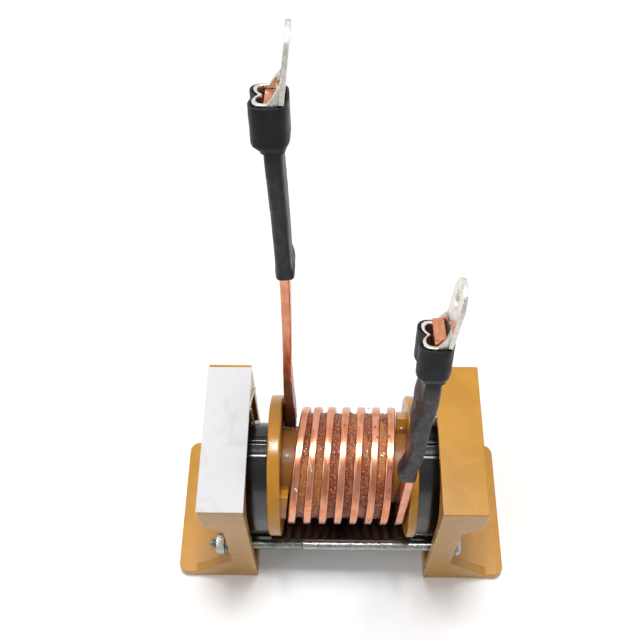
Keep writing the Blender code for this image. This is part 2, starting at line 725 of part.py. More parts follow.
def make_barrel_sleeve(name, lead, material):
    """Runs from the lead's sleeve up over the barrel, following its crimp."""
    over_sleeve = SLEEVE_WALL + GAP
    tail = oval(SLEEVE_HALF_T + over_sleeve, SLEEVE_HALF_W + over_sleeve, TAIL_SQUARENESS)
    fit = barrel_oval(GAP)
    stations = ((-BARREL_L - BARREL_SLEEVE_TAIL, tail, 0.0),
                (-BARREL_L - BARREL_SLEEVE_TAIL / 2, tail, 0.0),
                (-BARREL_L - GAP, fit, BARREL_SHIFT),
                (-BARREL_SLEEVE_SETBACK, fit, BARREL_SHIFT))
    rings = [sleeve_ring(lead.at(height), outline, lead, shift)
             for height, outline, shift in stations]
    return shell(name, rings, BARREL_SLEEVE_WALL, material)


# Tie bolts and their fittings

def make_bolt(name, y, tip, head_x, material):
    """Pan head with a cross recess on the right, shank through both brackets."""
    r, chamfer, dome = BOLT_R, BOLT_R / 3, HEAD_DOME
    profile = [(tip, 0.0), (tip, r - chamfer), (tip + chamfer, r), (head_x, r),
               (head_x, HEAD_R), (head_x + HEAD_H - dome, HEAD_R),
               (head_x + HEAD_H - dome / 3, HEAD_R * 0.8), (head_x + HEAD_H, HEAD_R * 0.5),
               (head_x + HEAD_H, 0.0)]
    bolt = turned(name, profile, segments=24)
    bolt.location = (0.0, y, BOLT_Z)
    low, high = head_x + HEAD_H - RECESS_DEPTH, head_x + HEAD_H + MM
    for label, dy, dz in (("_slot_a", RECESS_L, RECESS_W), ("_slot_b", RECESS_W, RECESS_L)):
        slot = box(name + label, (low, y - dy / 2, BOLT_Z - dz / 2),
                   (high, y + dy / 2, BOLT_Z + dz / 2))
        cut(bolt, slot)
    return finish(bolt, material)


def make_washer(name, centre_x, y, outer_r, thickness, material):
    half, bore = thickness / 2, BOLT_R + GAP
    profile = [(-half, bore), (half, bore), (half, outer_r), (-half, outer_r), (-half, bore)]
    washer = turned(name, profile, material, 24)
    washer.location = (centre_x, y, BOLT_Z)
    return washer


def make_nut(name, centre_x, y, material):
    """Hexagon whose corners are turned off on both faces."""
    half = NUT_H / 2
    corner_r = NUT_ACROSS_FLATS / math.sqrt(3)
    rim = corner_r - NUT_ACROSS_FLATS / 2
    bore = BOLT_R + GAP
    profile = [(-half, bore), (half, bore), (half, corner_r - rim),
               (half - rim * 0.6, corner_r + GAP), (rim * 0.6 - half, corner_r + GAP),
               (-half, corner_r - rim), (-half, bore)]
    nut = turned(name, profile, segments=24)
    nut.location = (centre_x, y, BOLT_Z)
    hexagon = rod(name + "_hexagon", corner_r, (centre_x - NUT_H, y, BOLT_Z),
                  (centre_x + NUT_H, y, BOLT_Z), 6)
    cut(nut, hexagon, "INTERSECT")
    return finish(nut, material)


def make_fittings(zinc, steel):
    """Two bolts, with washers under the heads and washers and nuts at the tips."""
    outer = WAIST_X + GAP
    head_x = outer + WASHER_T + GAP
    spring_x = head_x + SPRING_WASHER_T / 2
    nut_x = head_x + SPRING_WASHER_T + GAP
    tip = -nut_x - NUT_H - BOLT_PROUD
    for label, y in (("front", -BOLT_Y), ("back", BOLT_Y)):
        make_bolt("tie_bolt_" + label, y, tip, head_x, zinc)
        make_washer("flat_washer_right_" + label, outer + WASHER_T / 2, y, WASHER_R,
                    WASHER_T, zinc)
        make_washer("flat_washer_left_" + label, -outer - WASHER_T / 2, y, WASHER_R,
                    WASHER_T, zinc)
        spring = make_washer("spring_washer_" + label, -spring_x, y, SPRING_WASHER_R,
                             SPRING_WASHER_T, steel)
        slit = box("slit_" + label, (-SPRING_WASHER_T, -SPRING_SLIT / 2, BOLT_R),
                   (SPRING_WASHER_T, SPRING_SLIT / 2, SPRING_WASHER_R + MM))
        slit.location += Vector((-spring_x, y, BOLT_Z))
        slit.rotation_euler.z = SLIT_SLANT
        cut(spring, slit)
        make_nut("nut_" + label, -nut_x - NUT_H / 2, y, zinc)


# Label

def make_label(name, material):
    """Paper label on top of the left bracket, a little over its long edges."""
    over = LABEL_OVERHANG
    low = (-TOP_OUTER_X - over, -BRACKET_DEPTH / 2, BRACKET_HEIGHT + GAP)
    high = (-BRACKET_INNER_X + over, BRACKET_DEPTH / 2 - LABEL_BACK_MARGIN,
            BRACKET_HEIGHT + GAP + LABEL_T)
    return finish(box(name, low, high, parts), material)


clear_scene()

amber = make_material("amber_plastic", (0.60, 0.31, 0.045), 0.0, 0.35)
ferrite = make_material("black_ferrite", (0.03, 0.032, 0.036), 0.0, 0.25)
copper = make_material("copper", (0.80, 0.38, 0.23), 1.0, 0.28)
varnish = make_material("varnish", (0.22, 0.07, 0.03), 0.0, 0.3)
sleeve = make_material("sleeve_black", (0.04, 0.045, 0.055), 0.0, 0.5)
tinned = make_material("tinned_copper", (0.80, 0.78, 0.73), 1.0, 0.35)
paper = make_material("label_paper", (0.9, 0.9, 0.89), 0.0, 0.7)
zinc_plate = make_material("zinc_plate", (0.62, 0.62, 0.60), 1.0, 0.3)
spring_steel = make_material("spring_steel", (0.42, 0.42, 0.42), 1.0, 0.35)

make_bracket("bracket_left", -1, amber)
make_bracket("bracket_right", 1, amber)
make_core_half("core_half_left", -1, ferrite)
make_core_half("core_half_right", 1, ferrite)
make_bobbin("bobbin", amber)

left_lead, right_lead = make_leads()
make_winding("winding", left_lead, right_lead, copper)
make_filler("turn_filler", varnish)
make_lug("lug_left", left_lead, tinned)
make_lug("lug_right", right_lead, tinned)
make_lead_sleeve("lead_sleeve_left", left_lead, LEFT_SLEEVE_RISE, sleeve)
make_lead_sleeve("lead_sleeve_right", right_lead, RIGHT_SLEEVE_RISE, sleeve)
make_barrel_sleeve("barrel_sleeve_left", left_lead, sleeve)
make_barrel_sleeve("barrel_sleeve_right", right_lead, sleeve)

make_fittings(zinc_plate, spring_steel)
make_label("label", paper)
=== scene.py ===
import math

import bmesh
import bpy
import numpy as np
from mathutils import Matrix, Vector


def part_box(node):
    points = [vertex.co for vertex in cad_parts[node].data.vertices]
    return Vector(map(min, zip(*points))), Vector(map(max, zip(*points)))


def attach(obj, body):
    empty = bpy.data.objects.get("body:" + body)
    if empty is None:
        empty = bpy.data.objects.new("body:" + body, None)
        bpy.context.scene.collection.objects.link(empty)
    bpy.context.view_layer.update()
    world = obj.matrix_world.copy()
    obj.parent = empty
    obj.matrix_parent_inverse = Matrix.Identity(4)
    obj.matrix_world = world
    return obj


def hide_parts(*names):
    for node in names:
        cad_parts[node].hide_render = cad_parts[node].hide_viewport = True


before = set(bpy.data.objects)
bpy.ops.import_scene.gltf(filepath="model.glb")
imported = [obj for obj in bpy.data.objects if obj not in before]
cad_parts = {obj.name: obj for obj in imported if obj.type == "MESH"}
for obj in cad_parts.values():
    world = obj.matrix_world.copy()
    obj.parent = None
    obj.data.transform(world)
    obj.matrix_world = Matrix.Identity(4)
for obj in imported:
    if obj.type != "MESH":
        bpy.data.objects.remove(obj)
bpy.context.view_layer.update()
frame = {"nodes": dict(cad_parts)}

nodes = frame["nodes"]
MM = 0.001


# White paper, a soft lamp nearly overhead, a weak one at the side, and the camera that
# looks down from the front.  The paper is plain white wherever no shadow falls on it.

def sum_of(operation, swapped=False):
    """A method that adds one Math node on a wire and, for two-sided sums, another term."""
    def method(wire, *other):
        terms = (*other, wire) if swapped else (wire, *other)
        return wire.nodes.math(operation, *terms)
    return method


class Wire:
    """One socket of a node tree; arithmetic on wires adds Math nodes."""

    def __init__(self, nodes, socket):
        self.nodes, self.socket = nodes, socket

    __add__ = __radd__ = sum_of("ADD")
    __mul__ = __rmul__ = sum_of("MULTIPLY")
    __sub__, __rsub__ = sum_of("SUBTRACT"), sum_of("SUBTRACT", swapped=True)
    __truediv__, __rtruediv__ = sum_of("DIVIDE"), sum_of("DIVIDE", swapped=True)
    __pow__ = sum_of("POWER")
    __lt__, __gt__ = sum_of("LESS_THAN"), sum_of("GREATER_THAN")
    sine, cosine = sum_of("SINE"), sum_of("COSINE")
    most, least = sum_of("MAXIMUM"), sum_of("MINIMUM")


class Nodes:
    """Adds nodes to a tree, shader or geometry."""

    def __init__(self, tree):
        self.tree = tree

    def add(self, kind, settings=(), values=(), output=0):
        """A node of a kind: its settings first, then the values or wires of its sockets."""
        node = self.tree.nodes.new(kind)
        for name, setting in dict(settings).items():
            setattr(node, name, setting)
        for key, value in dict(values).items():
            self.feed(node.inputs, key, value)
        return Wire(self, self.pick(node.outputs, output)) if node.outputs else None

    def pick(self, sockets, key):
        named = [socket for socket in sockets if socket.identifier == key]
        return named[0] if named else sockets[key]

    def feed(self, sockets, key, value):
        if isinstance(value, Wire):
            self.tree.links.new(value.socket, self.pick(sockets, key))
        else:
            self.pick(sockets, key).default_value = value

    def math(self, operation, *terms):
        return self.add("ShaderNodeMath", {"operation": operation}, enumerate(terms))

    def vector(self, x, y, z):
        return self.add("ShaderNodeCombineXYZ", (), enumerate((x, y, z)))

    def parts_of(self, wire):
        split = self.add("ShaderNodeSeparateXYZ", (), {0: wire}).socket.node
        return [Wire(self, socket) for socket in split.outputs]


class Finish(Nodes):
    """A material on one Principled shader, whose unchanging sockets are set at once."""

    def __init__(self, name, constants):
        self.material = bpy.data.materials.new(name)
        self.material.use_nodes = True
        super().__init__(self.material.node_tree)
        self.shader = self.tree.nodes["Principled BSDF"]
        for socket, value in constants.items():
            self.shader.inputs[socket].default_value = value

    def place(self, stretch=(1.0, 1.0, 1.0)):
        """Object coordinates, stretched along the axes."""
        where = self.add("ShaderNodeTexCoord", output="Object")
        if stretch == (1.0, 1.0, 1.0):
            return where
        return self.add("ShaderNodeMapping", (), {"Vector": where, "Scale": stretch})

    def attribute(self, name):
        return self.add("ShaderNodeAttribute", {"attribute_name": name}, output="Fac")

    def noise(self, size, detail=2.0, distortion=0.0, stretch=(1.0, 1.0, 1.0)):
        """Noise whose features are about a size in metres across."""
        return self.add("ShaderNodeTexNoise", (), {
            "Vector": self.place(stretch), "Scale": 1.0 / size, "Detail": detail,
            "Distortion": distortion})

    def cells(self, size, stretch=(1.0, 1.0, 1.0)):
        """Distance from the middle of the nearest cell, in cells of a size in metres."""
        return self.add("ShaderNodeTexVoronoi", (), {
            "Vector": self.place(stretch), "Scale": 1.0 / size})

    def ramp(self, wire, low, high, to_low=0.0, to_high=1.0):
        """A smooth step between two values of a wire."""
        return self.add("ShaderNodeMapRange", {"interpolation_type": "SMOOTHSTEP"}, {
            "Value": wire, "From Min": low, "From Max": high, "To Min": to_low,
            "To Max": to_high})

    def mix(self, share, first, second):
        """A colour between two colours."""
        return self.add("ShaderNodeMix", {"data_type": "RGBA"}, {
            "Factor_Float": share, "A_Color": first, "B_Color": second}, "Result_Color")

    def drive(self, **sockets):
        for name, wire in sockets.items():
            self.feed(self.shader.inputs, name.replace("_", " ").title(), wire)

    def bump(self, height, depth):
        return self.add("ShaderNodeBump", (), {"Height": height, "Distance": depth})


def put(name, data):
    """A new object in the scene."""
    thing = bpy.data.objects.new(name, data)
    bpy.context.scene.collection.objects.link(thing)
    return thing


CAMERA_PLACE = Vector((-3.84, -128.7, 369.8)) * MM
CAMERA_AZIMUTH = math.radians(-1.641)
CAMERA_ELEVATION = math.radians(58.705)
CAMERA_ROLL = math.radians(-0.961)
CAMERA_LENS = 49.74
SENSOR = 36.0

camera = put("camera", bpy.data.cameras.new("camera"))
camera.data.lens, camera.data.sensor_width = CAMERA_LENS, SENSOR
camera.data.clip_start, camera.data.clip_end = 10 * MM, 20.0
camera.matrix_world = (Matrix.Translation(CAMERA_PLACE)
                       @ Matrix.Rotation(-CAMERA_AZIMUTH, 4, "Z")
                       @ Matrix.Rotation(math.pi / 2 - CAMERA_ELEVATION, 4, "X")
                       @ Matrix.Rotation(CAMERA_ROLL, 4, "Z"))
bpy.context.scene.camera = camera
bpy.context.scene.view_settings.view_transform = "Standard"


LAMP_AIM = Vector((0.0, 0.0, 60.0)) * MM


def hang_lamp(name, size, place, power):
    """A square soft box, aimed at the coil."""
    lamp = put(name, bpy.data.lights.new(name, "AREA"))
    lamp.data.shape, lamp.data.size, lamp.data.energy = "SQUARE", size, power
    lamp.location = place
    lamp.rotation_euler = (Vector(place) - LAMP_AIM).to_track_quat("Z", "Y").to_euler()


hang_lamp("overhead_lamp", size=0.25, place=(0.0, 0.13, 1.13), power=9.8)
hang_lamp("window_lamp", size=0.60, place=(-0.95, -0.35, 0.85), power=2.5)

# How bright the surroundings are as light, in a reflection, and in a reflection of the
# darker room, which lies in a direction.
SKY_LIGHT, SKY_REFLECTED, ROOM_REFLECTED = 0.28, 0.90, 0.45
ROOM_SIDE, ROOM_EDGE = (0.0, -0.78, 0.62), (0.55, 0.95)

world = bpy.data.worlds.new("studio")
world.use_nodes = True
bpy.context.scene.world = world
sky = Nodes(world.node_tree)
path = sky.add("ShaderNodeLightPath").socket.node
toward_room = sky.add("ShaderNodeVectorMath", {"operation": "DOT_PRODUCT"}, {
    0: sky.add("ShaderNodeTexCoord", output="Generated"), 1: ROOM_SIDE}, "Value")
room = sky.add("ShaderNodeMapRange", {"interpolation_type": "SMOOTHSTEP"}, {
    "Value": toward_room, "From Min": ROOM_EDGE[0], "From Max": ROOM_EDGE[1]})
reflected = room * (ROOM_REFLECTED - SKY_REFLECTED) + SKY_REFLECTED
in_mirror = Wire(sky, path.outputs["Is Glossy Ray"])
seen = Wire(sky, path.outputs["Is Camera Ray"])
sky.feed(world.node_tree.nodes["Background"].inputs, "Strength",
         (in_mirror * (reflected - SKY_LIGHT) + SKY_LIGHT).most(seen))
world.node_tree.nodes["Background"].inputs["Color"].default_value = (1.0, 1.0, 1.0, 1.0)

PAPER_SIZE = 4.0
PAPER_WHITE, PAPER_GLOW = 0.90, 0.10
SHADOW_REACH, PLAIN_FROM = 0.15, 0.34   # from the middle: shadows shown whole, not at all


def written(shape, mesh):
    """Writes an edited shape into a mesh."""
    shape.to_mesh(mesh)
    shape.free()
    return mesh


shape = bmesh.new()
bmesh.ops.create_grid(shape, x_segments=2, y_segments=2, size=PAPER_SIZE / 2)
paper_sheet = put("paper_sheet", written(shape, bpy.data.meshes.new("paper_sheet")))
backdrop = Finish("white_backdrop", {
    "Base Color": (PAPER_WHITE, PAPER_WHITE, PAPER_WHITE, 1.0), "Roughness": 0.9,
    "Specular IOR Level": 0.0})
seen = Wire(backdrop, backdrop.add("ShaderNodeLightPath").socket.node.outputs["Is Camera Ray"])
glow = backdrop.add("ShaderNodeEmission", (), {"Strength": PAPER_GLOW})
lift = backdrop.add("ShaderNodeAddShader", (), {
    0: Wire(backdrop, backdrop.shader.outputs[0]), 1: glow})
shown = backdrop.add("ShaderNodeMixShader", (), {
    0: seen, 1: Wire(backdrop, backdrop.shader.outputs[0]), 2: lift})
plain = backdrop.add("ShaderNodeEmission", (), {"Strength": 1.0})
x, y, _ = backdrop.parts_of(backdrop.place())
far = backdrop.ramp((x * x + y * y) ** 0.5, SHADOW_REACH, PLAIN_FROM)
whole = backdrop.add("ShaderNodeMixShader", (), {0: far * seen, 1: shown, 2: plain})
backdrop.feed(backdrop.tree.nodes["Material Output"].inputs, "Surface", whole)
paper_sheet.data.materials.append(backdrop.material)


# The two brackets: identical mouldings in amber plastic, one turned round.  Each has a
# pocket on its inner side that grips the core, and a foot with a gusset at each end.

SHARP_EDGE = math.radians(30.0)
BEVEL_STEPS = 3
SEAM_ZONE = 1.0 * MM                # either side of the middle, where the core is jointed


def loose_copy(node, name):
    """A copy of a CAD node's mesh with its doubles merged and its flat faces whole."""
    mesh = nodes[node].data.copy()
    shape = bmesh.new()
    shape.from_mesh(mesh)
    bmesh.ops.remove_doubles(shape, verts=shape.verts, dist=0.00001)
    bmesh.ops.dissolve_limit(shape, angle_limit=math.radians(1.0), verts=shape.verts,
                             edges=shape.edges)
    return put(name, written(shape, mesh))


def settle(piece):
    """Turns a piece's modifiers into a plain mesh at the origin."""
    bpy.context.view_layer.update()
    mesh = bpy.data.meshes.new_from_object(
        piece.evaluated_get(bpy.context.evaluated_depsgraph_get()))
    mesh.transform(piece.matrix_world)
    piece.modifiers.clear()
    piece.data = mesh
    piece.matrix_world = Matrix.Identity(4)
    return piece


def even_shading(piece):
    """Smooth shading in which flat faces stay flat beside their rounded edges."""
    piece.data.shade_smooth()
    weighted = piece.modifiers.new("normals", "WEIGHTED_NORMAL")
    weighted.keep_sharp = True
    return settle(piece)


def rounded(piece, width, keep_seam=False):
    """Rounds a piece's edges as a mould or a tumbler leaves them, but not at a seam."""
    shape = bmesh.new()
    shape.from_mesh(piece.data)
    weights = shape.edges.layers.float.new("bevel_weight_edge")
    for edge in shape.edges:
        at_seam = all(abs(vertex.co.x) < SEAM_ZONE for vertex in edge.verts)
        sharp = edge.calc_face_angle(0.0) > SHARP_EDGE
        edge[weights] = float(sharp and not (keep_seam and at_seam))
    written(shape, piece.data)
    bevel = piece.modifiers.new("edge", "BEVEL")
    bevel.width, bevel.segments = width, BEVEL_STEPS
    bevel.limit_method, bevel.use_clamp_overlap = "WEIGHT", False
    return even_shading(settle(piece))


def hand_over(piece, finish, slot, *stands_for):
    """Gives a piece its finish, its body and the CAD nodes that it stands for."""
    piece.data.materials.clear()
    piece.data.materials.append(finish.material)
    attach(piece, "root")
    if stands_for:
        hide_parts(*stands_for)


def dress(node, name, width, finish, slot):
    """A CAD node's own shape, with its edges rounded, in place of that node."""
    hand_over(rounded(loose_copy(node, name), width), finish, slot, node)


def tone(red, green, blue):
    """A colour as a screen shows it, from 0 to 255, made linear for the shader."""
    def linear(value):
        share = value / 255
        return share / 12.92 if share <= 0.04045 else ((share + 0.055) / 1.055) ** 2.4
    return (linear(red), linear(green), linear(blue), 1.0)


MOULD_EDGE = 0.45 * MM
DUST, VARNISHED_AMBER = tone(236, 216, 180), tone(134, 84, 44)
AMBER_COAT = 0.20


def amber_finish(name, deep, light, varnished_r=None):
    """Amber moulding: cloudy colour, a fine orange peel and a few specks of dust; brown
    with varnish nearer to the coil's axis than a given radius."""
    amber = Finish(name, {"IOR": 1.50, "Specular IOR Level": 0.35, "Coat Roughness": 0.14,
                          "Subsurface Weight": 0.08, "Subsurface Radius": (1.0, 0.5, 0.2),
                          "Subsurface Scale": 0.8 * MM})
    cloud = amber.noise(16 * MM, 3.0, 0.4)
    flow = amber.noise(2.2 * MM, 3.0, 0.2, (1.0, 1.0, 0.25))
    dust = amber.ramp(amber.cells(3.1 * MM), 0.03, 0.05)
    shade = amber.ramp(cloud * 0.8 + flow * 0.2, 0.30, 0.70)
    colour = amber.mix(shade, deep, light)
    colour = amber.mix((1.0 - dust) * 0.3, colour, DUST)
    peel = amber.noise(0.42 * MM, 2.0)
    scuff = amber.ramp(amber.noise(6 * MM, 4.0, 0.5), 0.48, 0.70)
    coat = AMBER_COAT
    if varnished_r:
        _, y, z = amber.parts_of(amber.place())
        radius = (y * y + (z - AXIS_Z) * (z - AXIS_Z)) ** 0.5
        run = amber.ramp(radius + (flow - 0.5) * 1.5 * MM, varnished_r + 1.0 * MM, varnished_r)
        colour = amber.mix(run * 0.8, colour, VARNISHED_AMBER)
        scuff, coat = scuff + run * 2.5, (1.0 - run) * AMBER_COAT
    amber.drive(base_color=colour, roughness=scuff * 0.06 + 0.25, coat_weight=coat,
                normal=amber.bump(peel + cloud, 0.014 * MM))
    return amber


bracket_amber = amber_finish("bracket_amber", tone(188, 133, 38), tone(200, 144, 46))
for side in ("left", "right"):
    dress("bracket_" + side, "moulded_bracket_" + side, MOULD_EDGE, bracket_amber,
          "amber_plastic")


# The core: two U-shaped halves of pressed ferrite with round legs, lacquered black.
# They meet inside the coil, and their yokes sit in the brackets' pockets.

CORE_EDGE = 0.6 * MM
SEAM_LEFT = 0.02                    # share of the solids' gap that is left at the joint

ferrite = Finish("lacquered_ferrite", {"IOR": 1.5, "Coat Roughness": 0.04})
grain = ferrite.noise(0.30 * MM, 3.0)
pits = ferrite.ramp(ferrite.cells(1.9 * MM), 0.03, 0.06)
smear = ferrite.ramp(ferrite.noise(9 * MM, 4.0, 0.8), 0.40, 0.66)
ferrite.drive(
    base_color=ferrite.mix(smear, tone(18, 19, 22), tone(28, 29, 32)),
    roughness=smear * 0.08 + 0.14,
    coat_weight=smear * -0.2 + 0.35,
    normal=ferrite.bump(grain + pits + ferrite.noise(5 * MM) * 2.0, 0.012 * MM))
for side in ("left", "right"):
    half = loose_copy("core_half_" + side, "ferrite_half_" + side)
    for vertex in half.data.vertices:
        if abs(vertex.co.x) < SEAM_ZONE:
            vertex.co.x *= SEAM_LEFT
    rounded(half, CORE_EDGE, keep_seam=True)
    hand_over(half, ferrite, "black_ferrite", "core_half_" + side)


# The bobbin: one moulded tube with two round flanges, and a ramp by each flange where
# the first and the last pass of the strip are led away from it.

LEG_R = 12.5 * MM
GAP = 0.3 * MM
BOBBIN_WALL = 1.0 * MM
AXIS_Z = 51.0 * MM
TUBE_R = LEG_R + GAP + BOBBIN_WALL
BOBBIN_EDGE = 0.7 * MM
RING_STEPS, CORNER_STEPS = 160, 4

bobbin_low, bobbin_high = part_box("bobbin")
flange_r = (bobbin_high[2] - bobbin_low[2]) / 2
FLANGE_LEFT_T, FLANGE_RIGHT_T = 4.6 * MM, 3.2 * MM


def bridged(shape, rows):
    """Faces between rows of a closed section's points."""
    for here, following in rows:
        for i in range(len(here)):
            j = (i + 1) % len(here)
            shape.faces.new((here[i], here[j], following[j], following[i]))


def closed_piece(name, shape):
    bmesh.ops.remove_doubles(shape, verts=shape.verts, dist=0.002 * MM)
    bmesh.ops.recalc_face_normals(shape, faces=shape.faces)
    return put(name, written(shape, bpy.data.meshes.new(name)))


def smooth_below(piece, degrees):
    """Smooth shading, with edges above an angle left sharp."""
    piece.data.shade_smooth()
    piece.data.set_sharp_from_angle(angle=math.radians(degrees))
    return piece


def turned_ring(name, profile):
    """A solid turned about the coil's axis from a closed (x, radius) profile."""
    shape = bmesh.new()
    rows = []
    for step in range(RING_STEPS):
        angle = 2 * math.pi * step / RING_STEPS
        rows.append([shape.verts.new((x, r * math.sin(angle), AXIS_Z + r * math.cos(angle)))
                     for x, r in profile])
    bridged(shape, zip(rows, rows[1:] + rows[:1]))
    return smooth_below(closed_piece(name, shape), 40.0)


def corner(x, r, quarter):
    """Points of a flange's round corner in the profile; quarter says which way it faces."""
    angles = [(quarter + step / CORNER_STEPS) * math.pi / 2 for step in range(CORNER_STEPS + 1)]
    return [(x + BOBBIN_EDGE * math.cos(angle), r + BOBBIN_EDGE * math.sin(angle))
            for angle in angles]


left_x, right_x = bobbin_low[0], bobbin_high[0]
left_face, right_face = left_x + FLANGE_LEFT_T, right_x - FLANGE_RIGHT_T
bore, rim, edge = LEG_R + GAP, flange_r - BOBBIN_EDGE, BOBBIN_EDGE
profile = [(left_x, bore), (right_x, bore)]
profile += corner(right_x - edge, rim, 0) + corner(right_face + edge, rim, 1)
profile += [(right_face, TUBE_R), (left_face, TUBE_R)]
profile += corner(left_face - edge, rim, 0) + corner(left_x + edge, rim, 1)
bobbin = even_shading(turned_ring("flanged_bobbin", profile))
bobbin_amber = amber_finish("bobbin_amber", tone(186, 129, 38), tone(198, 140, 46),
                            TUBE_R + 1.5 * MM)
hand_over(bobbin, bobbin_amber, "amber_plastic", "bobbin")


# The winding: 3 by 8 mm copper strip wound on edge, seven and a half turns, left-handed.
# Bending thickens its inner edge; both ends go on upwards and stand as stiff leads.

STRIP_T, STRIP_W = 3.0 * MM, 8.0 * MM
STRIP_EDGE = 0.6 * MM
INNER_SWELL = 0.4 * MM
OUTER_THIN = 0.1 * MM
TURNS, PITCH = 7.5, 5.72 * MM
STRAIGHT_TURNS, FIRST_ADVANCE = 0.472, 1.62 * MM
LEAN_LAST, LEAN_FIRST, LEAN_DECAY = 0.65 * MM, 2.05 * MM, 0.37
STEPS_PER_TURN = 96
COIL_MID_R = TUBE_R + GAP + STRIP_W / 2
COIL_START_X = left_face + GAP + (STRIP_T + INNER_SWELL) / 2

LEFT_ROUTE_MM = ((0.5, 0.0, 26), (0.9, -0.2, 46), (1.8, -0.5, 74),
                 (2.5, -1.0, 105), (2.5, -1.8, 137), (2.2, -2.4, 159.6))
RIGHT_ROUTE_MM = ((0.4, 0.0, 19), (0.8, 0.3, 46), (1.0, 0.7, 72),
                  (0.85, 1.1, 96), (1.25, 1.2, 111))
LEFT_LUG_MM, RIGHT_LUG_MM = (2.0, 1.6, 173.6), (1.55, -3.1, 125.1)
LEFT_PROUD, RIGHT_PROUD = -1.0 * MM, 2.0 * MM
RIGHT_TWIST, TWIST_RISE, TWIST_REACH = math.radians(12.5), 98.0 * MM, 14.0 * MM
SWELL_RISE = 20.0 * MM
ROUTE_STEPS = 24


def coil_x(turn):
    """Middle of the strip along the coil's axis, which leans up the front of each turn."""
    if turn < STRAIGHT_TURNS:
        return COIL_START_X + FIRST_ADVANCE * turn / STRAIGHT_TURNS
    lean = LEAN_LAST + LEAN_FIRST * LEAN_DECAY ** (turn - 2 * STRAIGHT_TURNS)
    wave = (1.0 - math.cos(2 * math.pi * (turn - STRAIGHT_TURNS))) / 2
    return COIL_START_X + FIRST_ADVANCE + PITCH * (turn - STRAIGHT_TURNS) + lean * wave


def coil_point(turn, radius, x):
    angle = 2 * math.pi * turn
    return Vector((x, radius * math.cos(angle), AXIS_Z - radius * math.sin(angle)))


class Lead:
    """One end of the strip: frames from the coil up to the mouth of its lug."""

    def __init__(self, start, route, lug, outward, proud, twist=0.0):
        points = [start + Vector((x, y * outward, z)) * MM for x, y, z in route + (lug,)]
        self.mouth = points[-1]
        self.outward, self.twist = outward, twist
        route = [start - Vector((0.0, 0.0, 5 * MM)), start] + points
        self.route = []
        for i in range(1, len(route) - 2):
            p0, p1, p2, p3 = route[i - 1:i + 3]
            for step in range(ROUTE_STEPS):
                t = step / ROUTE_STEPS
                self.route.append(0.5 * (2 * p1 + (p2 - p0) * t
                                         + (2 * p0 - 5 * p1 + 4 * p2 - p3) * t ** 2
                                         + (3 * p1 - p0 - 3 * p2 + p3) * t ** 3))
        self.axis = (self.mouth - route[-2]).normalized()
        self.bend = len(self.route)
        last = self.mouth + self.axis * proud
        for step in range(ROUTE_STEPS + 1):
            self.route.append(route[-2].lerp(last, step / ROUTE_STEPS))

    def turned_frame(self, centre, tangent):
        """Centre, direction across the strip's width and direction along its thickness."""
        across = Vector((0.0, self.outward, 0.0))
        across = (across - tangent * across.dot(tangent)).normalized()
        share = max(0.0, 1.0 - ((centre.z - AXIS_Z - TWIST_RISE) / TWIST_REACH) ** 2)
        across = Matrix.Rotation(self.twist * share ** 2, 3, tangent) @ across
        return centre, across, across.cross(tangent) * self.outward

    def frame(self, index):
        low, high = max(index - 1, 0), min(index + 1, len(self.route) - 1)
        return self.turned_frame(self.route[index],
                                 (self.route[high] - self.route[low]).normalized())

    def frames(self):
        return [self.frame(index) for index in range(1, len(self.route))]

    def at(self, above_mouth):
        """Frame on the straight end, at a distance above the mouth of the lug."""
        return self.turned_frame(self.mouth + self.axis * above_mouth, self.axis)

    def at_height(self, height):
        """Frame at a height over the ground."""
        for index in range(1, len(self.route)):
            if self.route[index].z >= height:
                break
        low, high = self.frame(index - 1), self.frame(index)
        share = (height - low[0].z) / (high[0].z - low[0].z)
        return tuple(a.lerp(b, share) for a, b in zip(low, high))


left_lead = Lead(coil_point(0.0, COIL_MID_R, coil_x(0.0)), LEFT_ROUTE_MM, LEFT_LUG_MM, 1.0,
                 LEFT_PROUD)
right_lead = Lead(coil_point(TURNS, COIL_MID_R, coil_x(TURNS)), RIGHT_ROUTE_MM, RIGHT_LUG_MM,
                  -1.0, RIGHT_PROUD, RIGHT_TWIST)


SOCKET_KINDS = {int: "NodeSocketInt", float: "NodeSocketFloat"}


def grow(name, build, values, base=None):
    """Grows a piece by a geometry tree, from a mesh or from nothing, into a plain mesh.

    The values are the tree's named inputs, and build lays out its nodes; the last two
    make the instances real and set the material."""
    tree = bpy.data.node_groups.new(name, "GeometryNodeTree")
    for way in ("OUTPUT", "INPUT"):
        tree.interface.new_socket("Geometry", in_out=way, socket_type="NodeSocketGeometry")
    for label, value in values.items():
        tree.interface.new_socket(label, in_out="INPUT", socket_type=SOCKET_KINDS.get(
            type(value), "NodeSocketMaterial"))
    work = Nodes(tree)
    source = work.add("NodeGroupInput").socket.node
    size = {socket.name: Wire(work, socket) for socket in source.outputs if socket.name}
    real = work.add("GeometryNodeRealizeInstances", (), {0: build(work, size)})
    dressed = work.add("GeometryNodeSetMaterial", (), {
        "Geometry": real, "Material": size["Material"]})
    work.add("NodeGroupOutput", (), {0: dressed})

    piece = put(name, base or bpy.data.meshes.new(name))
    modifier = piece.modifiers.new(name, "NODES")
    modifier.node_group = tree
    for item in tree.interface.items_tree:
        if item.name in values:
            modifier[item.identifier] = values[item.name]
    return settle(piece)


def field(work, name, kind="FLOAT"):
    return work.add("GeometryNodeInputNamedAttribute", {"data_type": kind}, {"Name": name})


def directions(work, *names):
    return [field(work, name, "FLOAT_VECTOR") for name in names]


def keep(work, geometry, name, value, kind="FLOAT"):
    return work.add("GeometryNodeStoreNamedAttribute", {"data_type": kind, "domain": "POINT"}, {
        "Geometry": geometry, "Name": name, "Value": value})


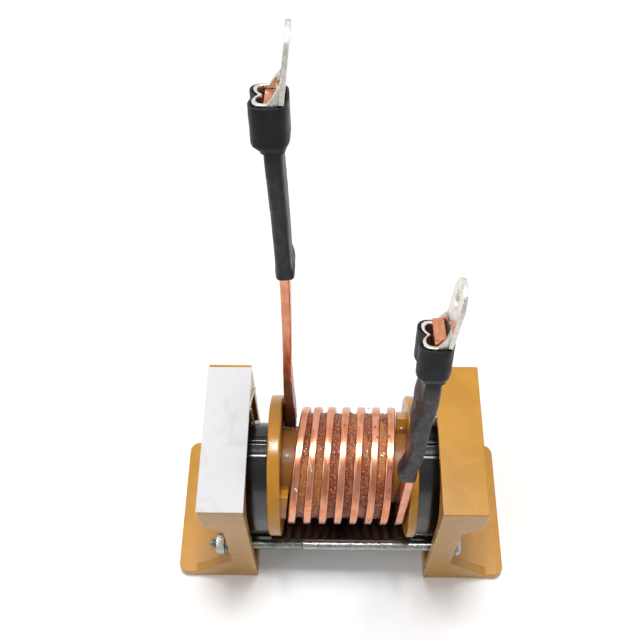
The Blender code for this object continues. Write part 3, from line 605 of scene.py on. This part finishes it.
def marked(work, section, first, second):
    """A flat section that remembers its points' two coordinates under names."""
    spot = work.parts_of(work.add("GeometryNodeInputPosition"))
    return keep(work, keep(work, section, first, spot[0]), second, spot[1])


def moved(work, start, *steps):
    """A place moved along each direction by its amount."""
    for direction, amount in steps:
        start = work.add("ShaderNodeVectorMath", {"operation": "MULTIPLY_ADD"}, {
            0: direction, 1: work.vector(amount, amount, amount), 2: start})
    return start


def swept_strip(work, size):
    """Sweeps the strip's section along one lead, round the coil and up the other lead."""
    coil_points = size["Turns"] * size["Steps per turn"] + 1
    total = size["Left points"] + size["Right points"] + coil_points
    line = work.add("GeometryNodeMeshLine", (), {"Count": total, "Offset": (0.0, 0.0, 0.001)},
                    "Mesh")
    index = work.add("GeometryNodeInputIndex")
    step = index - size["Left points"]
    in_coil = (step > -0.5) * (step < coil_points - 0.5)
    source = index - (step > -0.5) * coil_points
    turn = step / size["Steps per turn"]

    straight = turn < size["Straight turns"]
    after = turn - size["Straight turns"]
    lean = size["Last lean"] + size["First lean"] * size["Lean decay"] ** (
        after - size["Straight turns"])
    wave = (1.0 - (after * 2 * math.pi).cosine()) / 2
    wound = size["First advance"] + size["Pitch"] * after + lean * wave
    first = size["First advance"] * turn / size["Straight turns"]
    x = size["Start"] + straight * first + (1.0 - straight) * wound
    angle = turn * 2 * math.pi
    y, z = angle.cosine(), angle.sine()
    coil_place = work.vector(x, y * size["Middle radius"],
                             size["Axis height"] - z * size["Middle radius"])

    def switch(on_lead, in_turns):
        return work.add("GeometryNodeSwitch", {"input_type": "VECTOR"}, {
            "Switch": in_coil, "False": on_lead, "True": in_turns})

    def sampled(value):
        return work.add("GeometryNodeSampleIndex", {"data_type": "FLOAT_VECTOR"}, {
            "Geometry": size["Geometry"], "Value": value, "Index": source})

    place, across, along = directions(work, "place", "across", "along")
    for name, on_lead, in_turns in (
            ("place", work.add("GeometryNodeInputPosition"), coil_place),
            ("across", across, work.vector(0.0, y, 0.0 - z)),
            ("along", along, work.vector(1.0, 0.0, 0.0))):
        line = keep(work, line, name, switch(sampled(on_lead), in_turns), "FLOAT_VECTOR")
    line = keep(work, line, "turn", turn)
    line = keep(work, line, "wound", in_coil)
    curve = work.add("GeometryNodeMeshToCurve", (), {"Mesh": line})

    flat = work.add("GeometryNodeCurvePrimitiveQuadrilateral", (), {
        "Width": size["Thickness"], "Height": size["Width"]})
    section = work.add("GeometryNodeFilletCurve", {"mode": "POLY"}, {
        "Curve": flat, "Radius": size["Corner"], "Count": 4, "Limit Radius": True})
    swept = work.add("GeometryNodeCurveToMesh", (), {
        "Curve": curve, "Profile Curve": marked(work, section, "edge_b", "edge_a"),
        "Fill Caps": True})
    a, b = field(work, "edge_a"), field(work, "edge_b")
    share = a / size["Width"] + 0.5
    height = work.parts_of(place)[2]
    rise = ((height - size["Axis height"]) / SWELL_RISE).least(1.0).most(0.0)
    fade = 1.0 - (1.0 - field(work, "wound")) * rise
    half_t = (size["Thickness"] + fade * (size["Swell"] * (1.0 - share)
                                          - size["Thinning"] * share)) / size["Thickness"]
    placed = moved(work, place, (across, a), (along, b * half_t))
    swept = work.add("GeometryNodeSetPosition", (), {"Geometry": swept, "Position": placed})
    swept = keep(work, swept, "share", share)
    return work.add("GeometryNodeFlipFaces", (), {"Mesh": swept})


def copper_finish():
    """Drawn copper, pink where it is bare and red-brown where varnish has run on it."""
    copper = Finish("drawn_copper", {"Metallic": 1.0, "IOR": 1.5, "Coat Roughness": 0.08})
    share, wound = copper.attribute("share"), copper.attribute("wound")
    spot = copper.place()
    streak = copper.noise(0.9 * MM, 3.0, 0.3, (1.0, 0.12, 0.12))
    cloud = copper.noise(7 * MM, 4.0, 0.8)
    height = copper.parts_of(spot)[2]
    inside = copper.ramp(share, 0.98, 0.90) * wound
    low_lead = copper.ramp(height, 0.125, 0.070) * copper.ramp(share, 0.30, 0.05)
    run = copper.ramp(copper.noise(3.5 * MM, 5.0, 2.5), 0.50, 0.62)
    stain = (inside * (run * 0.35 + 0.55)).most(low_lead * 0.85)
    bare = copper.mix(copper.ramp(cloud * 0.6 + streak * 0.4, 0.38, 0.62),
                      tone(220, 140, 104), tone(240, 172, 140))
    copper.drive(
        base_color=copper.mix(stain, bare, tone(140, 62, 44)),
        roughness=copper.ramp(streak, 0.35, 0.7) * 0.10 + 0.20,
        coat_weight=stain * 0.5,
        normal=copper.bump(streak + cloud * 0.8 + run * stain, 0.02 * MM))
    return copper


def line_mesh(name, places, joined, **marks):
    """Points, joined one to the next or loose, with numbers or vectors stored on them."""
    mesh = bpy.data.meshes.new(name)
    mesh.from_pydata(places, [(i, i + 1) for i in range(len(places) - 1)] if joined else [], [])
    for label, values in marks.items():
        values = np.array(values, "f")
        kind, key = ("FLOAT", "value") if values.ndim == 1 else ("FLOAT_VECTOR", "vector")
        mesh.attributes.new(label, kind, "POINT").data.foreach_set(key, values.ravel())
    return mesh


down, up = left_lead.frames()[::-1], right_lead.frames()
places, across, along = zip(*down, *up)
copper = copper_finish()
winding = grow("edge_wound_winding", swept_strip, {
    "Left points": len(down), "Right points": len(up), "Steps per turn": STEPS_PER_TURN,
    "Turns": TURNS, "Pitch": PITCH, "Start": COIL_START_X, "Axis height": AXIS_Z,
    "Middle radius": COIL_MID_R, "Straight turns": STRAIGHT_TURNS,
    "First advance": FIRST_ADVANCE, "Last lean": LEAN_LAST, "First lean": LEAN_FIRST,
    "Lean decay": LEAN_DECAY, "Width": STRIP_W, "Thickness": STRIP_T, "Corner": STRIP_EDGE,
    "Swell": INNER_SWELL, "Thinning": OUTER_THIN, "Material": copper.material},
    line_mesh("strip_route", places, False, across=across, along=along))
even_shading(winding)
hand_over(winding, copper, "copper", "winding")


# The bobbin's two ramps, moulded on its tube: they lift the first and the last pass of
# the strip off the flanges, following its lean.

RAMP_H, RAMP_ROOT, RAMP_EDGE = 6.7 * MM, 1.0 * MM, 0.35 * MM
START_RAMP, END_RAMP = (0.12, 0.592), (TURNS - 0.65, TURNS - 0.10)


def coil_half_t(radius):
    share = (radius - COIL_MID_R) / STRIP_W + 0.5
    return (STRIP_T + INNER_SWELL * (1.0 - share) - OUTER_THIN * share) / 2


def ramp(name, turns, flange_face, side):
    """A closed wedge between a flange and the strip that lies beside it."""
    first, last = turns
    count = round((last - first) * STEPS_PER_TURN)
    shape = bmesh.new()
    rows = []
    for step in range(count + 1):
        turn = first + (last - first) * step / count
        edge = coil_x(turn) + side * (coil_half_t(TUBE_R + GAP) + GAP)
        edge = min(edge, flange_face) if side > 0 else max(edge, flange_face)
        buried = flange_face + side * RAMP_ROOT
        rows.append([shape.verts.new(coil_point(turn, radius, x)) for radius, x in (
            (TUBE_R - BOBBIN_WALL / 2, buried), (TUBE_R - BOBBIN_WALL / 2, edge),
            (TUBE_R + RAMP_H, edge), (TUBE_R + RAMP_H, buried))])
    bridged(shape, zip(rows, rows[1:]))
    shape.faces.new(rows[0])
    shape.faces.new(rows[-1])
    return closed_piece(name, shape)


for name, turns, face, side in (("start_ramp", START_RAMP, left_face, -1),
                                ("end_ramp", END_RAMP, right_face, 1)):
    hand_over(rounded(ramp(name, turns, face, side), RAMP_EDGE), bobbin_amber,
              "amber_plastic")


# Insulating varnish: brushed on the finished coil, it has run into the gaps between the
# turns and cured there brown and glossy, with drops and crumbs left on the copper.

COIL_OUTER_R = COIL_MID_R + STRIP_W / 2
VARNISH_DEPTH = 2.5 * MM
VARNISH_TURNS = (1.05, TURNS - 0.5)
VARNISH_LAP = 0.05 * MM             # how far it goes into the copper on either side


def varnish_line():
    """The middle of the gap between two turns, with the gap's half width at each point."""
    first, last = VARNISH_TURNS
    count = round((last - first) * STEPS_PER_TURN)
    places, outs, halves = [], [], []
    for step in range(count + 1):
        turn = first + (last - first) * step / count
        before, after = coil_x(turn - 1.0), coil_x(turn)
        places.append(coil_point(turn, COIL_MID_R, (before + after) / 2))
        outs.append(coil_point(turn, 1.0, 0.0) - Vector((0.0, 0.0, AXIS_Z)))
        halves.append((after - before) / 2 - coil_half_t(COIL_OUTER_R) + VARNISH_LAP)
    return line_mesh("gap_line", places, True, place=places, out=outs, half=halves)


def varnish_in_gaps(work, size):
    """Fills the gap up to a wavy surface, and scatters drops over it and the turns."""
    section = work.add("GeometryNodeCurvePrimitiveQuadrilateral", (), {
        "Width": 2.0, "Height": 2.0})
    section = work.add("GeometryNodeSubdivideCurve", (), {"Curve": section, "Cuts": 7})
    curve = work.add("GeometryNodeMeshToCurve", (), {"Mesh": size["Geometry"]})
    body = work.add("GeometryNodeCurveToMesh", (), {
        "Curve": curve, "Profile Curve": marked(work, section, "b", "a"), "Fill Caps": True})
    a, b = field(work, "a"), field(work, "b")
    place, out = directions(work, "place", "out")

    sideways = work.vector(1.0, 0.0, 0.0)
    ripple = work.add("ShaderNodeTexNoise", (), {
        "Vector": moved(work, place, (sideways, b * size["Turn spacing"] * 0.25)),
        "Scale": 1.0 / size["Wave size"], "Detail": 4.0, "Distortion": 1.5})
    surface = (a > 0.0) * size["Wave"] * (ripple * 3.0 - 1.5 + b * b * 0.8)
    depth = a * 0.5 * (size["Strip width"] - size["Depth"]) - size["Depth"] * 0.5 + surface
    body = work.add("GeometryNodeSetPosition", (), {
        "Geometry": body,
        "Position": moved(work, place, (out, depth), (sideways, b * field(work, "half")))})
    body = work.add("GeometryNodeFlipFaces", (), {"Mesh": body})

    points = work.add("GeometryNodeDistributePointsOnFaces", {"distribute_method": "RANDOM"}, {
        "Mesh": body, "Selection": a > 0.9, "Density": size["Drops per square metre"],
        "Seed": size["Seed"]}, "Points")

    def chance(low, high, seed, kind="FLOAT_VECTOR"):
        keys = ("Min", "Max", "Value") if kind == "FLOAT_VECTOR" else (
            "Min_001", "Max_001", "Value_001")
        return work.add("FunctionNodeRandomValue", {"data_type": kind}, {
            keys[0]: low, keys[1]: high, "Seed": size["Seed"] + seed}, keys[2])

    on_copper = chance(0.0, 1.0, 1, "FLOAT") < size["Share on copper"]
    side = chance(-0.6, 0.6, 2, "FLOAT")
    points = work.add("GeometryNodeSetPosition", (), {
        "Geometry": points, "Offset": moved(
            work, work.vector(0.0, 0.0, 0.0), (out, on_copper * size["Depth"]),
            (sideways, on_copper * side * size["Turn spacing"]))})
    ball = work.add("GeometryNodeMeshIcoSphere", (), {
        "Radius": size["Drop radius"], "Subdivisions": 2}, "Mesh")
    drops = work.add("GeometryNodeInstanceOnPoints", (), {
        "Points": points, "Instance": ball,
        "Rotation": chance((0.0, 0.0, 0.0), (6.3, 6.3, 6.3), 3),
        "Scale": chance((0.25, 0.25, 0.2), (1.4, 1.1, 0.8), 4)})
    joined = work.add("GeometryNodeJoinGeometry", (), {"Geometry": body})
    work.feed(joined.socket.node.inputs, 0, drops)
    return work.add("GeometryNodeSetShadeSmooth", (), {"Geometry": joined})


varnish = Finish("cured_varnish", {"IOR": 1.5, "Specular IOR Level": 0.3})
thick = varnish.ramp(varnish.noise(7 * MM, 2.0, 0.5, (1.0, 0.3, 0.3)), 0.50, 0.60)
crumbs = varnish.noise(0.45 * MM, 4.0, 1.0)
# Crumbs: smoother and coated where they stand out, and pushed towards a pale gold there, which
# is a painted glint.
crumb_shine_and_painted_glint = varnish.ramp(crumbs, 0.53, 0.63)
varnish.drive(
    base_color=varnish.mix(crumb_shine_and_painted_glint * 0.75, varnish.mix(thick, tone(128, 52, 36),
                                                     tone(172, 104, 56)), tone(250, 196, 130)),
    roughness=crumb_shine_and_painted_glint * -0.25 + 0.42,
    coat_weight=crumb_shine_and_painted_glint * 0.8,
    normal=varnish.bump(crumbs + varnish.noise(1.6 * MM, 3.0) * 1.5, 0.20 * MM))
filling = grow("varnish_between_turns", varnish_in_gaps, {
    "Strip width": STRIP_W, "Depth": VARNISH_DEPTH, "Wave": 0.35 * MM, "Wave size": 1.8 * MM,
    "Drops per square metre": 330000.0, "Drop radius": 0.42 * MM, "Share on copper": 0.04,
    "Turn spacing": PITCH, "Seed": 7, "Material": varnish.material}, varnish_line())
hand_over(filling, varnish, "varnish", "turn_filler")


# The lugs: tinned copper tube with an open mouth, its barrel pressed into a dent over the
# strip, and a flat ring tongue bent a little outwards.  Tumbled, so the edges are round.

TUMBLED_EDGE = 0.2 * MM


def metal_finish(name, dull, bright, rough, grain=(1.0, 1.0, 1.0)):
    """Plated metal: clouds, drawing marks along a stretch, and small scratches."""
    metal = Finish(name, {"Metallic": 1.0, "IOR": 1.5})
    cloud = metal.noise(2.5 * MM, 4.0, 0.8)
    mark = metal.noise(0.35 * MM, 3.0, 0.2, grain)
    nick = metal.ramp(metal.cells(0.9 * MM, grain), 0.03, 0.12)
    shade = metal.ramp(cloud * 0.6 + mark * 0.4, 0.36, 0.64)
    metal.drive(base_color=metal.mix(shade, dull, bright),
                roughness=metal.ramp(mark, 0.35, 0.7) * 0.14 + rough,
                normal=metal.bump(mark + cloud * 2.0 + nick * 0.5, 0.05 * MM))
    return metal


tin = metal_finish("tin_plate", tone(222, 217, 206), tone(248, 246, 240), 0.26,
                   (1.0, 1.0, 0.3))
for side in ("left", "right"):
    dress("lug_" + side, "crimped_lug_" + side, TUMBLED_EDGE, tin, "tinned_copper")


# Heat-shrink sleeves: a long one on each lead, cut by hand at its lower end, and a wider
# one over each barrel.  They have shrunk on satin, with wrinkles where the lead bends.

BARREL_W, BARREL_WALL, BARREL_L = 7.8 * MM, 1.0 * MM, 11.0 * MM
BARREL_SHIFT, BARREL_ROUNDNESS = -0.6 * MM, 3.8
CRIMP_ANGLE = math.radians(26.0)
SLEEVE_WALL, BARREL_SLEEVE_WALL = 0.5 * MM, 0.6 * MM
BARREL_SLEEVE_TAIL, BARREL_SLEEVE_SETBACK = 1.7 * MM, 0.6 * MM
SLEEVE_OVERLAP = 1.2 * MM
SLEEVE_SQUARENESS, TAIL_SQUARENESS = 7.0, 5.0
SLEEVE_HALF_T, SLEEVE_HALF_W = STRIP_T / 2 + GAP, STRIP_W / 2 + GAP
CRIMP_DEPTH = BARREL_W / 2 - BARREL_WALL - SLEEVE_HALF_T - BARREL_SHIFT
BARREL_HALF_W = SLEEVE_HALF_W + BARREL_WALL
SLEEVE_STEP, BARREL_SLEEVE_STEP = 0.7 * MM, 0.4 * MM
SLEEVE_POINTS = 96                  # round the skin

# Height over the lower end, then what is added there to the half thickness and the half
# width, the shift to the right, the slack of the skin, the slant of the cut and the flare
# of the front left corner, all in mm.
LEFT_SLEEVE_MM = (
    (0.0, 0.45, 0.20, 0.30, 0.5, -0.5, 0.0),
    (2.0, 0.45, 0.15, 0.25, 0.5, -0.5, 0.0),
    (6.0, 0.05, 0.0, 0.0, 0.5, 0.0, 0.0),
    (20.0, 0.0, 0.0, 0.0, 0.35, 0.0, 0.0))
RIGHT_SLEEVE_MM = (
    (0.0, 0.10, 0.1, 0.0, 0.6, 0.8, 2.2),
    (3.5, 0.10, 0.1, 0.0, 0.7, 0.8, 3.2),
    (7.0, 0.10, 0.1, 0.0, 0.8, 0.6, 3.0),
    (12.0, 0.05, 0.1, 0.0, 0.8, 0.2, 1.2),
    (17.0, 0.0, 0.0, 0.0, 0.8, 0.0, 0.2),
    (33.0, 0.15, 0.0, -0.1, 0.7, 0.0, 0.0),
    (39.0, 0.55, 0.0, -0.45, 0.7, 0.0, 0.0),
    (46.0, 0.15, 0.0, -0.1, 0.6, 0.0, 0.0),
    (60.0, 0.0, 0.0, 0.0, 0.4, 0.0, 0.0),
    (90.0, 0.0, 0.0, 0.0, 0.3, 0.0, 0.0))
LEFT_SLEEVE_RISE, RIGHT_SLEEVE_RISE = 109.0 * MM, 43.0 * MM     # above the coil's axis
BARREL_SLEEVE_SLACK = 0.25 * MM
SLEEVE_WRINKLE = 2.2 * MM
COLUMNS = ("half_t", "half_w", "power", "dent", "shift", "slack", "slant", "flare")


def skin_line(name, lead, stations):
    """A polyline up a lead, with a frame and the values of COLUMNS at each point."""
    frames, *values = zip(*stations)
    places, across, along = zip(*frames)
    return line_mesh(name, places, True, place=places, along=along,
                     across=[way * lead.outward for way in across],
                     **dict(zip(COLUMNS, values)))


def shrunk_skin(work, size):
    """Sweeps a rounded box, dented by the crimp and wrinkled, up such a polyline."""
    circle = work.add("GeometryNodeCurvePrimitiveCircle", {"mode": "RADIUS"}, {
        "Resolution": size["Points round"], "Radius": 1.0})
    curve = work.add("GeometryNodeMeshToCurve", (), {"Mesh": size["Geometry"]})
    skin = work.add("GeometryNodeCurveToMesh", (), {
        "Curve": curve, "Profile Curve": marked(work, circle, "c", "s")})
    c, s, power = field(work, "c"), field(work, "s"), field(work, "power")
    place, along, across = directions(work, "place", "along", "across")

    flat = work.math("ABSOLUTE", c / field(work, "half_t")) ** power
    edge = work.math("ABSOLUTE", s / field(work, "half_w")) ** power
    off = work.math("ARCTAN2", s, 0.0 - c) / size["Crimp angle"]
    reach = (flat + edge) ** (-1.0 / power) - field(work, "dent") * work.math(
        "EXPONENT", 0.0 - off * off)
    corner_share = (1.0 - c) * (1.0 - s) * 0.25
    middle = moved(work, place,
                   (along, field(work, "shift") - field(work, "flare") * corner_share))
    smooth = moved(work, middle, (along, c * reach), (across, s * reach))
    folded = work.add("ShaderNodeVectorMath", {"operation": "MULTIPLY"}, {
        0: smooth, 1: (1.0, 1.0, 0.45)})
    wrinkle = work.add("ShaderNodeTexNoise", (), {
        "Vector": folded, "Scale": 1.0 / size["Wrinkle size"], "Detail": 3.0,
        "Distortion": 0.8})
    reach = reach + field(work, "slack") * (wrinkle - 0.40).most(0.0)
    up = work.add("ShaderNodeVectorMath", {"operation": "CROSS_PRODUCT"}, {
        0: along, 1: across})
    placed = moved(work, middle, (along, c * reach), (across, s * reach),
                   (up, field(work, "slant") * (0.0 - c)))
    return work.add("GeometryNodeSetPosition", (), {"Geometry": skin, "Position": placed})


def skin_on(name, lead, stations, finish, points, wrinkle, wall, offset):
    """Grows a skin along a lead and gives it a wall, outwards or inwards."""
    skin = grow(name, shrunk_skin, {
        "Points round": points, "Crimp angle": CRIMP_ANGLE, "Wrinkle size": wrinkle,
        "Material": finish.material}, skin_line(name + "_line", lead, stations))
    skin.data.shade_smooth()
    wall_of = skin.modifiers.new("wall", "SOLIDIFY")
    wall_of.thickness, wall_of.offset = wall, offset
    return settle(skin)


def sleeve(name, lead, stations, wall, node):
    skin = skin_on(name, lead, stations, satin, SLEEVE_POINTS, SLEEVE_WRINKLE, wall, 1.0)
    hand_over(smooth_below(skin, 60.0), satin, "sleeve_black", node)


def lead_stations(lead, low, high, step_h, half_t, half_w, table):
    """From one height to another up a lead, with what a table in mm adds on the way."""
    count = round((high - low) / step_h)
    table = np.array(table)
    stations = []
    for step in range(count + 1):
        height = low + (high - low) * step / count
        add_t, add_w, *others = (
            float(np.interp((height - low) / MM, table[:, 0], column)) * MM
            for column in table.T[1:])
        stations.append((lead.at_height(height), half_t + add_t, half_w + add_w,
                         SLEEVE_SQUARENESS, 0.0, *others))
    return stations


def barrel_stations(lead):
    """From the tail round the lead's sleeve, over a shoulder, to the rim by the mouth."""
    over = SLEEVE_WALL + GAP
    low, high = -BARREL_L - BARREL_SLEEVE_TAIL, -BARREL_SLEEVE_SETBACK
    shoulder = (-BARREL_L - BARREL_SLEEVE_TAIL * 0.6, -BARREL_L + 0.4 * MM)
    tail_and_barrel = ((SLEEVE_HALF_T + over, BARREL_W / 2 + GAP),
                       (SLEEVE_HALF_W + over, BARREL_HALF_W + GAP),
                       (TAIL_SQUARENESS, BARREL_ROUNDNESS),
                       (0.0, CRIMP_DEPTH), (0.0, BARREL_SHIFT))
    count = round((high - low) / BARREL_SLEEVE_STEP)
    stations = []
    for step in range(count + 1):
        above = low + (high - low) * step / count
        values = [float(np.interp(above, shoulder, pair)) for pair in tail_and_barrel]
        stations.append((lead.at(above), *values, BARREL_SLEEVE_SLACK, 0.0, 0.0))
    return stations


satin = Finish("satin_sleeve", {"IOR": 1.5, "Specular IOR Level": 0.3})
fold = satin.noise(1.1 * MM, 4.0, 0.6, (1.0, 1.0, 0.25))
bloom = satin.noise(5 * MM, 3.0, 0.5)
satin.drive(
    base_color=satin.mix(satin.ramp(bloom, 0.4, 0.62), tone(14, 15, 18), tone(24, 26, 31)),
    roughness=satin.ramp(fold, 0.35, 0.65) * 0.14 + 0.34,
    normal=satin.bump(fold + satin.noise(0.25 * MM, 2.0) * 0.3, 0.16 * MM))
for side, lead, rise, table in (("left", left_lead, LEFT_SLEEVE_RISE, LEFT_SLEEVE_MM),
                                ("right", right_lead, RIGHT_SLEEVE_RISE, RIGHT_SLEEVE_MM)):
    top = lead.at(-BARREL_L - BARREL_SLEEVE_TAIL + SLEEVE_OVERLAP)[0].z
    sleeve("long_sleeve_" + side, lead,
           lead_stations(lead, AXIS_Z + rise, top, SLEEVE_STEP, SLEEVE_HALF_T, SLEEVE_HALF_W,
                         table), SLEEVE_WALL, "lead_sleeve_" + side)
    sleeve("wide_sleeve_" + side, lead, barrel_stations(lead), BARREL_SLEEVE_WALL,
           "barrel_sleeve_" + side)


# A skin of varnish on the lower part of the first lead, left where it ran down from the
# brush.  It has wrinkled as it set and thins out upwards.

# The same columns as for the sleeves.
RUN_MM = (
    (0.0, 0.75, 0.30, 0.30, 0.9, 0.0, 0.0),
    (10.0, 0.70, 0.25, 0.20, 0.8, 0.0, 0.0),
    (22.0, 0.35, 0.15, 0.05, 0.5, 0.0, 0.0),
    (40.0, 0.02, 0.02, 0.0, 0.2, 0.0, 0.0))
RUN_LOW, RUN_HIGH, RUN_STEP = 54.0 * MM, 94.0 * MM, 0.5 * MM
RUN_POINTS, RUN_WRINKLE, RUN_WALL = 64, 1.6 * MM, 0.1 * MM

skin_varnish = Finish("varnish_skin", {"IOR": 1.5, "Coat Weight": 0.35, "Coat Roughness": 0.1})
fold = skin_varnish.noise(1.5 * MM, 3.0, 1.5, (0.4, 0.4, 1.0))
crack = skin_varnish.ramp(skin_varnish.math("ABSOLUTE", fold - 0.5), 0.0, 0.018)
skin_varnish.drive(
    base_color=skin_varnish.mix(crack, tone(196, 128, 108), skin_varnish.mix(
        skin_varnish.ramp(skin_varnish.noise(4 * MM, 3.0), 0.4, 0.6),
        tone(88, 40, 34), tone(122, 60, 46))),
    roughness=fold * 0.2 + 0.25, normal=skin_varnish.bump(fold, 0.3 * MM))
run = lead_stations(left_lead, RUN_LOW, RUN_HIGH, RUN_STEP, STRIP_T / 2, STRIP_W / 2, RUN_MM)
hand_over(skin_on("varnish_on_first_lead", left_lead, run, skin_varnish, RUN_POINTS,
                  RUN_WRINKLE, RUN_WALL, -1.0), skin_varnish, "varnish")


# Hot glue: a thread pulled over the left bracket's inner face down to the core, a bead at
# the foot of the first lead, and drops on the turns and ramps.  Set milky white.

GLUE_STEP, GLUE_VOXEL = 0.15 * MM, 0.10 * MM
GLUE_SWELL, SWELL_TURN = 0.22, 0.37     # how uneven a run is, and the angle from drop to drop
# Each run: its radius, then the points it passes, in mm.
GLUE_RUNS_MM = (
    (0.38, ((-33.9, 26.8, 62.7), (-33.9, 22.6, 68.0), (-33.9, 18.5, 72.4), (-33.9, 14.6, 76.2),
            (-33.9, 12.0, 78.1), (-33.8, 11.0, 76.5), (-33.7, 10.9, 74.3), (-33.6, 11.1, 67.0),
            (-33.5, 12.0, 63.2))),
    (0.75, ((-34.0, 11.9, 62.2), (-33.3, 12.4, 61.7), (-32.4, 12.7, 61.2))),
    (0.32, ((-22.4, 13.0, 56.8), (-21.4, 13.4, 55.3), (-20.3, 13.3, 55.1), (-18.9, 12.4, 57.3))),
    (0.45, ((34.2, 9.2, 75.4), (34.3, 10.2, 70.0), (34.8, 11.6, 63.4))),
    (0.70, ((-20.6, -2.2, 64.7), (-20.3, -2.5, 64.7))),
    (0.50, ((22.0, 9.7, 64.2), (22.1, 9.4, 64.4))),
    (0.32, ((-11.9, -7.2, 71.8), (-11.5, -9.4, 70.9), (-11.2, -10.4, 70.3))),
    (0.36, ((-17.0, -15.5, 66.6), (-16.4, -16.3, 66.0))))


def glue_points():
    """Points close together along the glue's runs, each with the radius of its drop."""
    places, radii = [], []
    for radius, run in GLUE_RUNS_MM:
        for start, end in zip(run, run[1:]):
            start, end = Vector(start) * MM, Vector(end) * MM
            count = max(1, round((end - start).length / GLUE_STEP))
            for step in range(count):
                places.append(start.lerp(end, step / count))
                swell = GLUE_SWELL * math.sin(len(places) * SWELL_TURN)
                radii.append(radius * MM * (1.0 + swell))
    return line_mesh("glue_points", places, False, drop=radii)


def melted_glue(work, size):
    """Melts the drops together into one skin."""
    points = work.add("GeometryNodeMeshToPoints", (), {"Mesh": size["Geometry"]})
    cloud = work.add("GeometryNodePointsToVolume", {"resolution_mode": "VOXEL_SIZE"}, {
        "Points": points, "Voxel Size": size["Voxel"], "Radius": field(work, "drop")})
    skin = work.add("GeometryNodeVolumeToMesh", {"resolution_mode": "VOXEL_SIZE"}, {
        "Volume": cloud, "Voxel Size": size["Voxel"], "Threshold": 0.1})
    return work.add("GeometryNodeSetShadeSmooth", (), {"Geometry": skin})


glue = Finish("milky_glue", {"IOR": 1.48, "Subsurface Weight": 0.25,
                             "Subsurface Radius": (1.0, 0.9, 0.8), "Subsurface Scale": 0.5 * MM})
haze = glue.noise(1.2 * MM, 3.0, 0.5)
glue.drive(base_color=glue.mix(glue.ramp(haze, 0.4, 0.6), tone(206, 198, 184),
                               tone(232, 228, 218)),
           roughness=haze * 0.25 + 0.22, normal=glue.bump(haze, 0.05 * MM))
strings = grow("hot_glue", melted_glue, {"Voxel": GLUE_VOXEL, "Material": glue.material},
               glue_points())
hand_over(strings, glue, "label_paper")


# Two M4 screws with cross-recessed pan heads on the right, through both brackets; nuts
# with flat and spring washers on the left.  Zinc plate, but for the plain spring washers.

BOLT_Y, BOLT_Z, BOLT_R = 22.95 * MM, 24.8 * MM, 1.95 * MM
THREAD_PITCH, THREAD_DEPTH, THREAD_STOP = 0.7 * MM, 0.42 * MM, -15.0 * MM
THREAD_STEPS, THREAD_LAP = 10, 0.3 * MM
SCREW_EDGE, PLATED_EDGE, SPRING_EDGE = 0.15 * MM, 0.12 * MM, 0.10 * MM


def threaded_rod(work, size):
    """A rod along X whose radius follows a screw thread."""
    rod = work.add("GeometryNodeMeshCylinder", {"fill_type": "NGON"}, {
        "Vertices": 32, "Radius": 1.0, "Depth": size["Length"],
        "Side Segments": size["Length"] / size["Pitch"] * size["Steps per pitch"]}, "Mesh")
    x, y, z = work.parts_of(work.add("GeometryNodeInputPosition"))
    phase = z / size["Pitch"] - work.math("ARCTAN2", y, x) / (2 * math.pi)
    saw = work.math("PINGPONG", phase, 0.5) * 2.0
    reach = size["Radius"] - size["Thread depth"] * saw
    inset = ((size["Length"] * 0.5 - work.math("ABSOLUTE", z)) / size["Pitch"]).least(1.0)
    reach = reach - (1.0 - inset) * size["Thread depth"]
    placed = work.vector(z + size["Middle"], x * reach + size["Side"],
                         y * reach + size["Height"])
    return work.add("GeometryNodeSetPosition", (), {"Geometry": rod, "Position": placed})


zinc = metal_finish("zinc_plate_finish", tone(150, 155, 150), tone(190, 193, 188), 0.20)
spring = metal_finish("spring_steel_finish", tone(96, 96, 98), tone(150, 150, 152), 0.30)
for place, y in (("front", -BOLT_Y), ("back", BOLT_Y)):
    screw = loose_copy("tie_bolt_" + place, "pan_head_screw_" + place)
    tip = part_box("tie_bolt_" + place)[0][0]
    shape = bmesh.new()
    shape.from_mesh(screw.data)
    bmesh.ops.bisect_plane(shape, geom=shape.verts[:] + shape.edges[:] + shape.faces[:],
                           plane_co=(THREAD_STOP, 0.0, 0.0), plane_no=(-1.0, 0.0, 0.0),
                           clear_outer=True)
    bmesh.ops.holes_fill(shape, edges=[e for e in shape.edges if e.is_boundary])
    bmesh.ops.recalc_face_normals(shape, faces=shape.faces)
    written(shape, screw.data)
    hand_over(rounded(screw, SCREW_EDGE), zinc, "zinc_plate", "tie_bolt_" + place)
    length = THREAD_STOP + THREAD_LAP - tip
    rod = grow("screw_thread_" + place, threaded_rod, {
        "Length": length, "Radius": BOLT_R, "Pitch": THREAD_PITCH,
        "Thread depth": THREAD_DEPTH, "Steps per pitch": THREAD_STEPS,
        "Middle": tip + length / 2, "Side": y, "Height": BOLT_Z, "Material": zinc.material})
    hand_over(smooth_below(rod, 55.0), zinc, "zinc_plate")
    for node in ("flat_washer_left_", "flat_washer_right_", "nut_"):
        dress(node + place, "plated_" + node + place, PLATED_EDGE, zinc, "zinc_plate")
    dress("spring_washer_" + place, "split_washer_" + place, SPRING_EDGE, spring,
          "spring_steel")


# The label: white paper glued along the top of the left bracket.  It is matt, slightly
# stained, and its fibres show.

PAPER_EDGE = 0.05 * MM

paper = Finish("label_paper_white", {"IOR": 1.45, "Specular IOR Level": 0.35})
fibre = paper.noise(0.5 * MM, 5.0, 1.0, (1.0, 0.35, 1.0))
stain = paper.ramp(paper.noise(9 * MM, 3.0, 0.6), 0.50, 0.70)
paper.drive(base_color=paper.mix(stain * 0.6, tone(216, 216, 218), tone(204, 202, 198)),
            roughness=paper.ramp(fibre, 0.3, 0.7) * 0.2 + 0.55,
            normal=paper.bump(fibre, 0.03 * MM))
dress("label", "paper_label", PAPER_EDGE, paper, "label_paper")
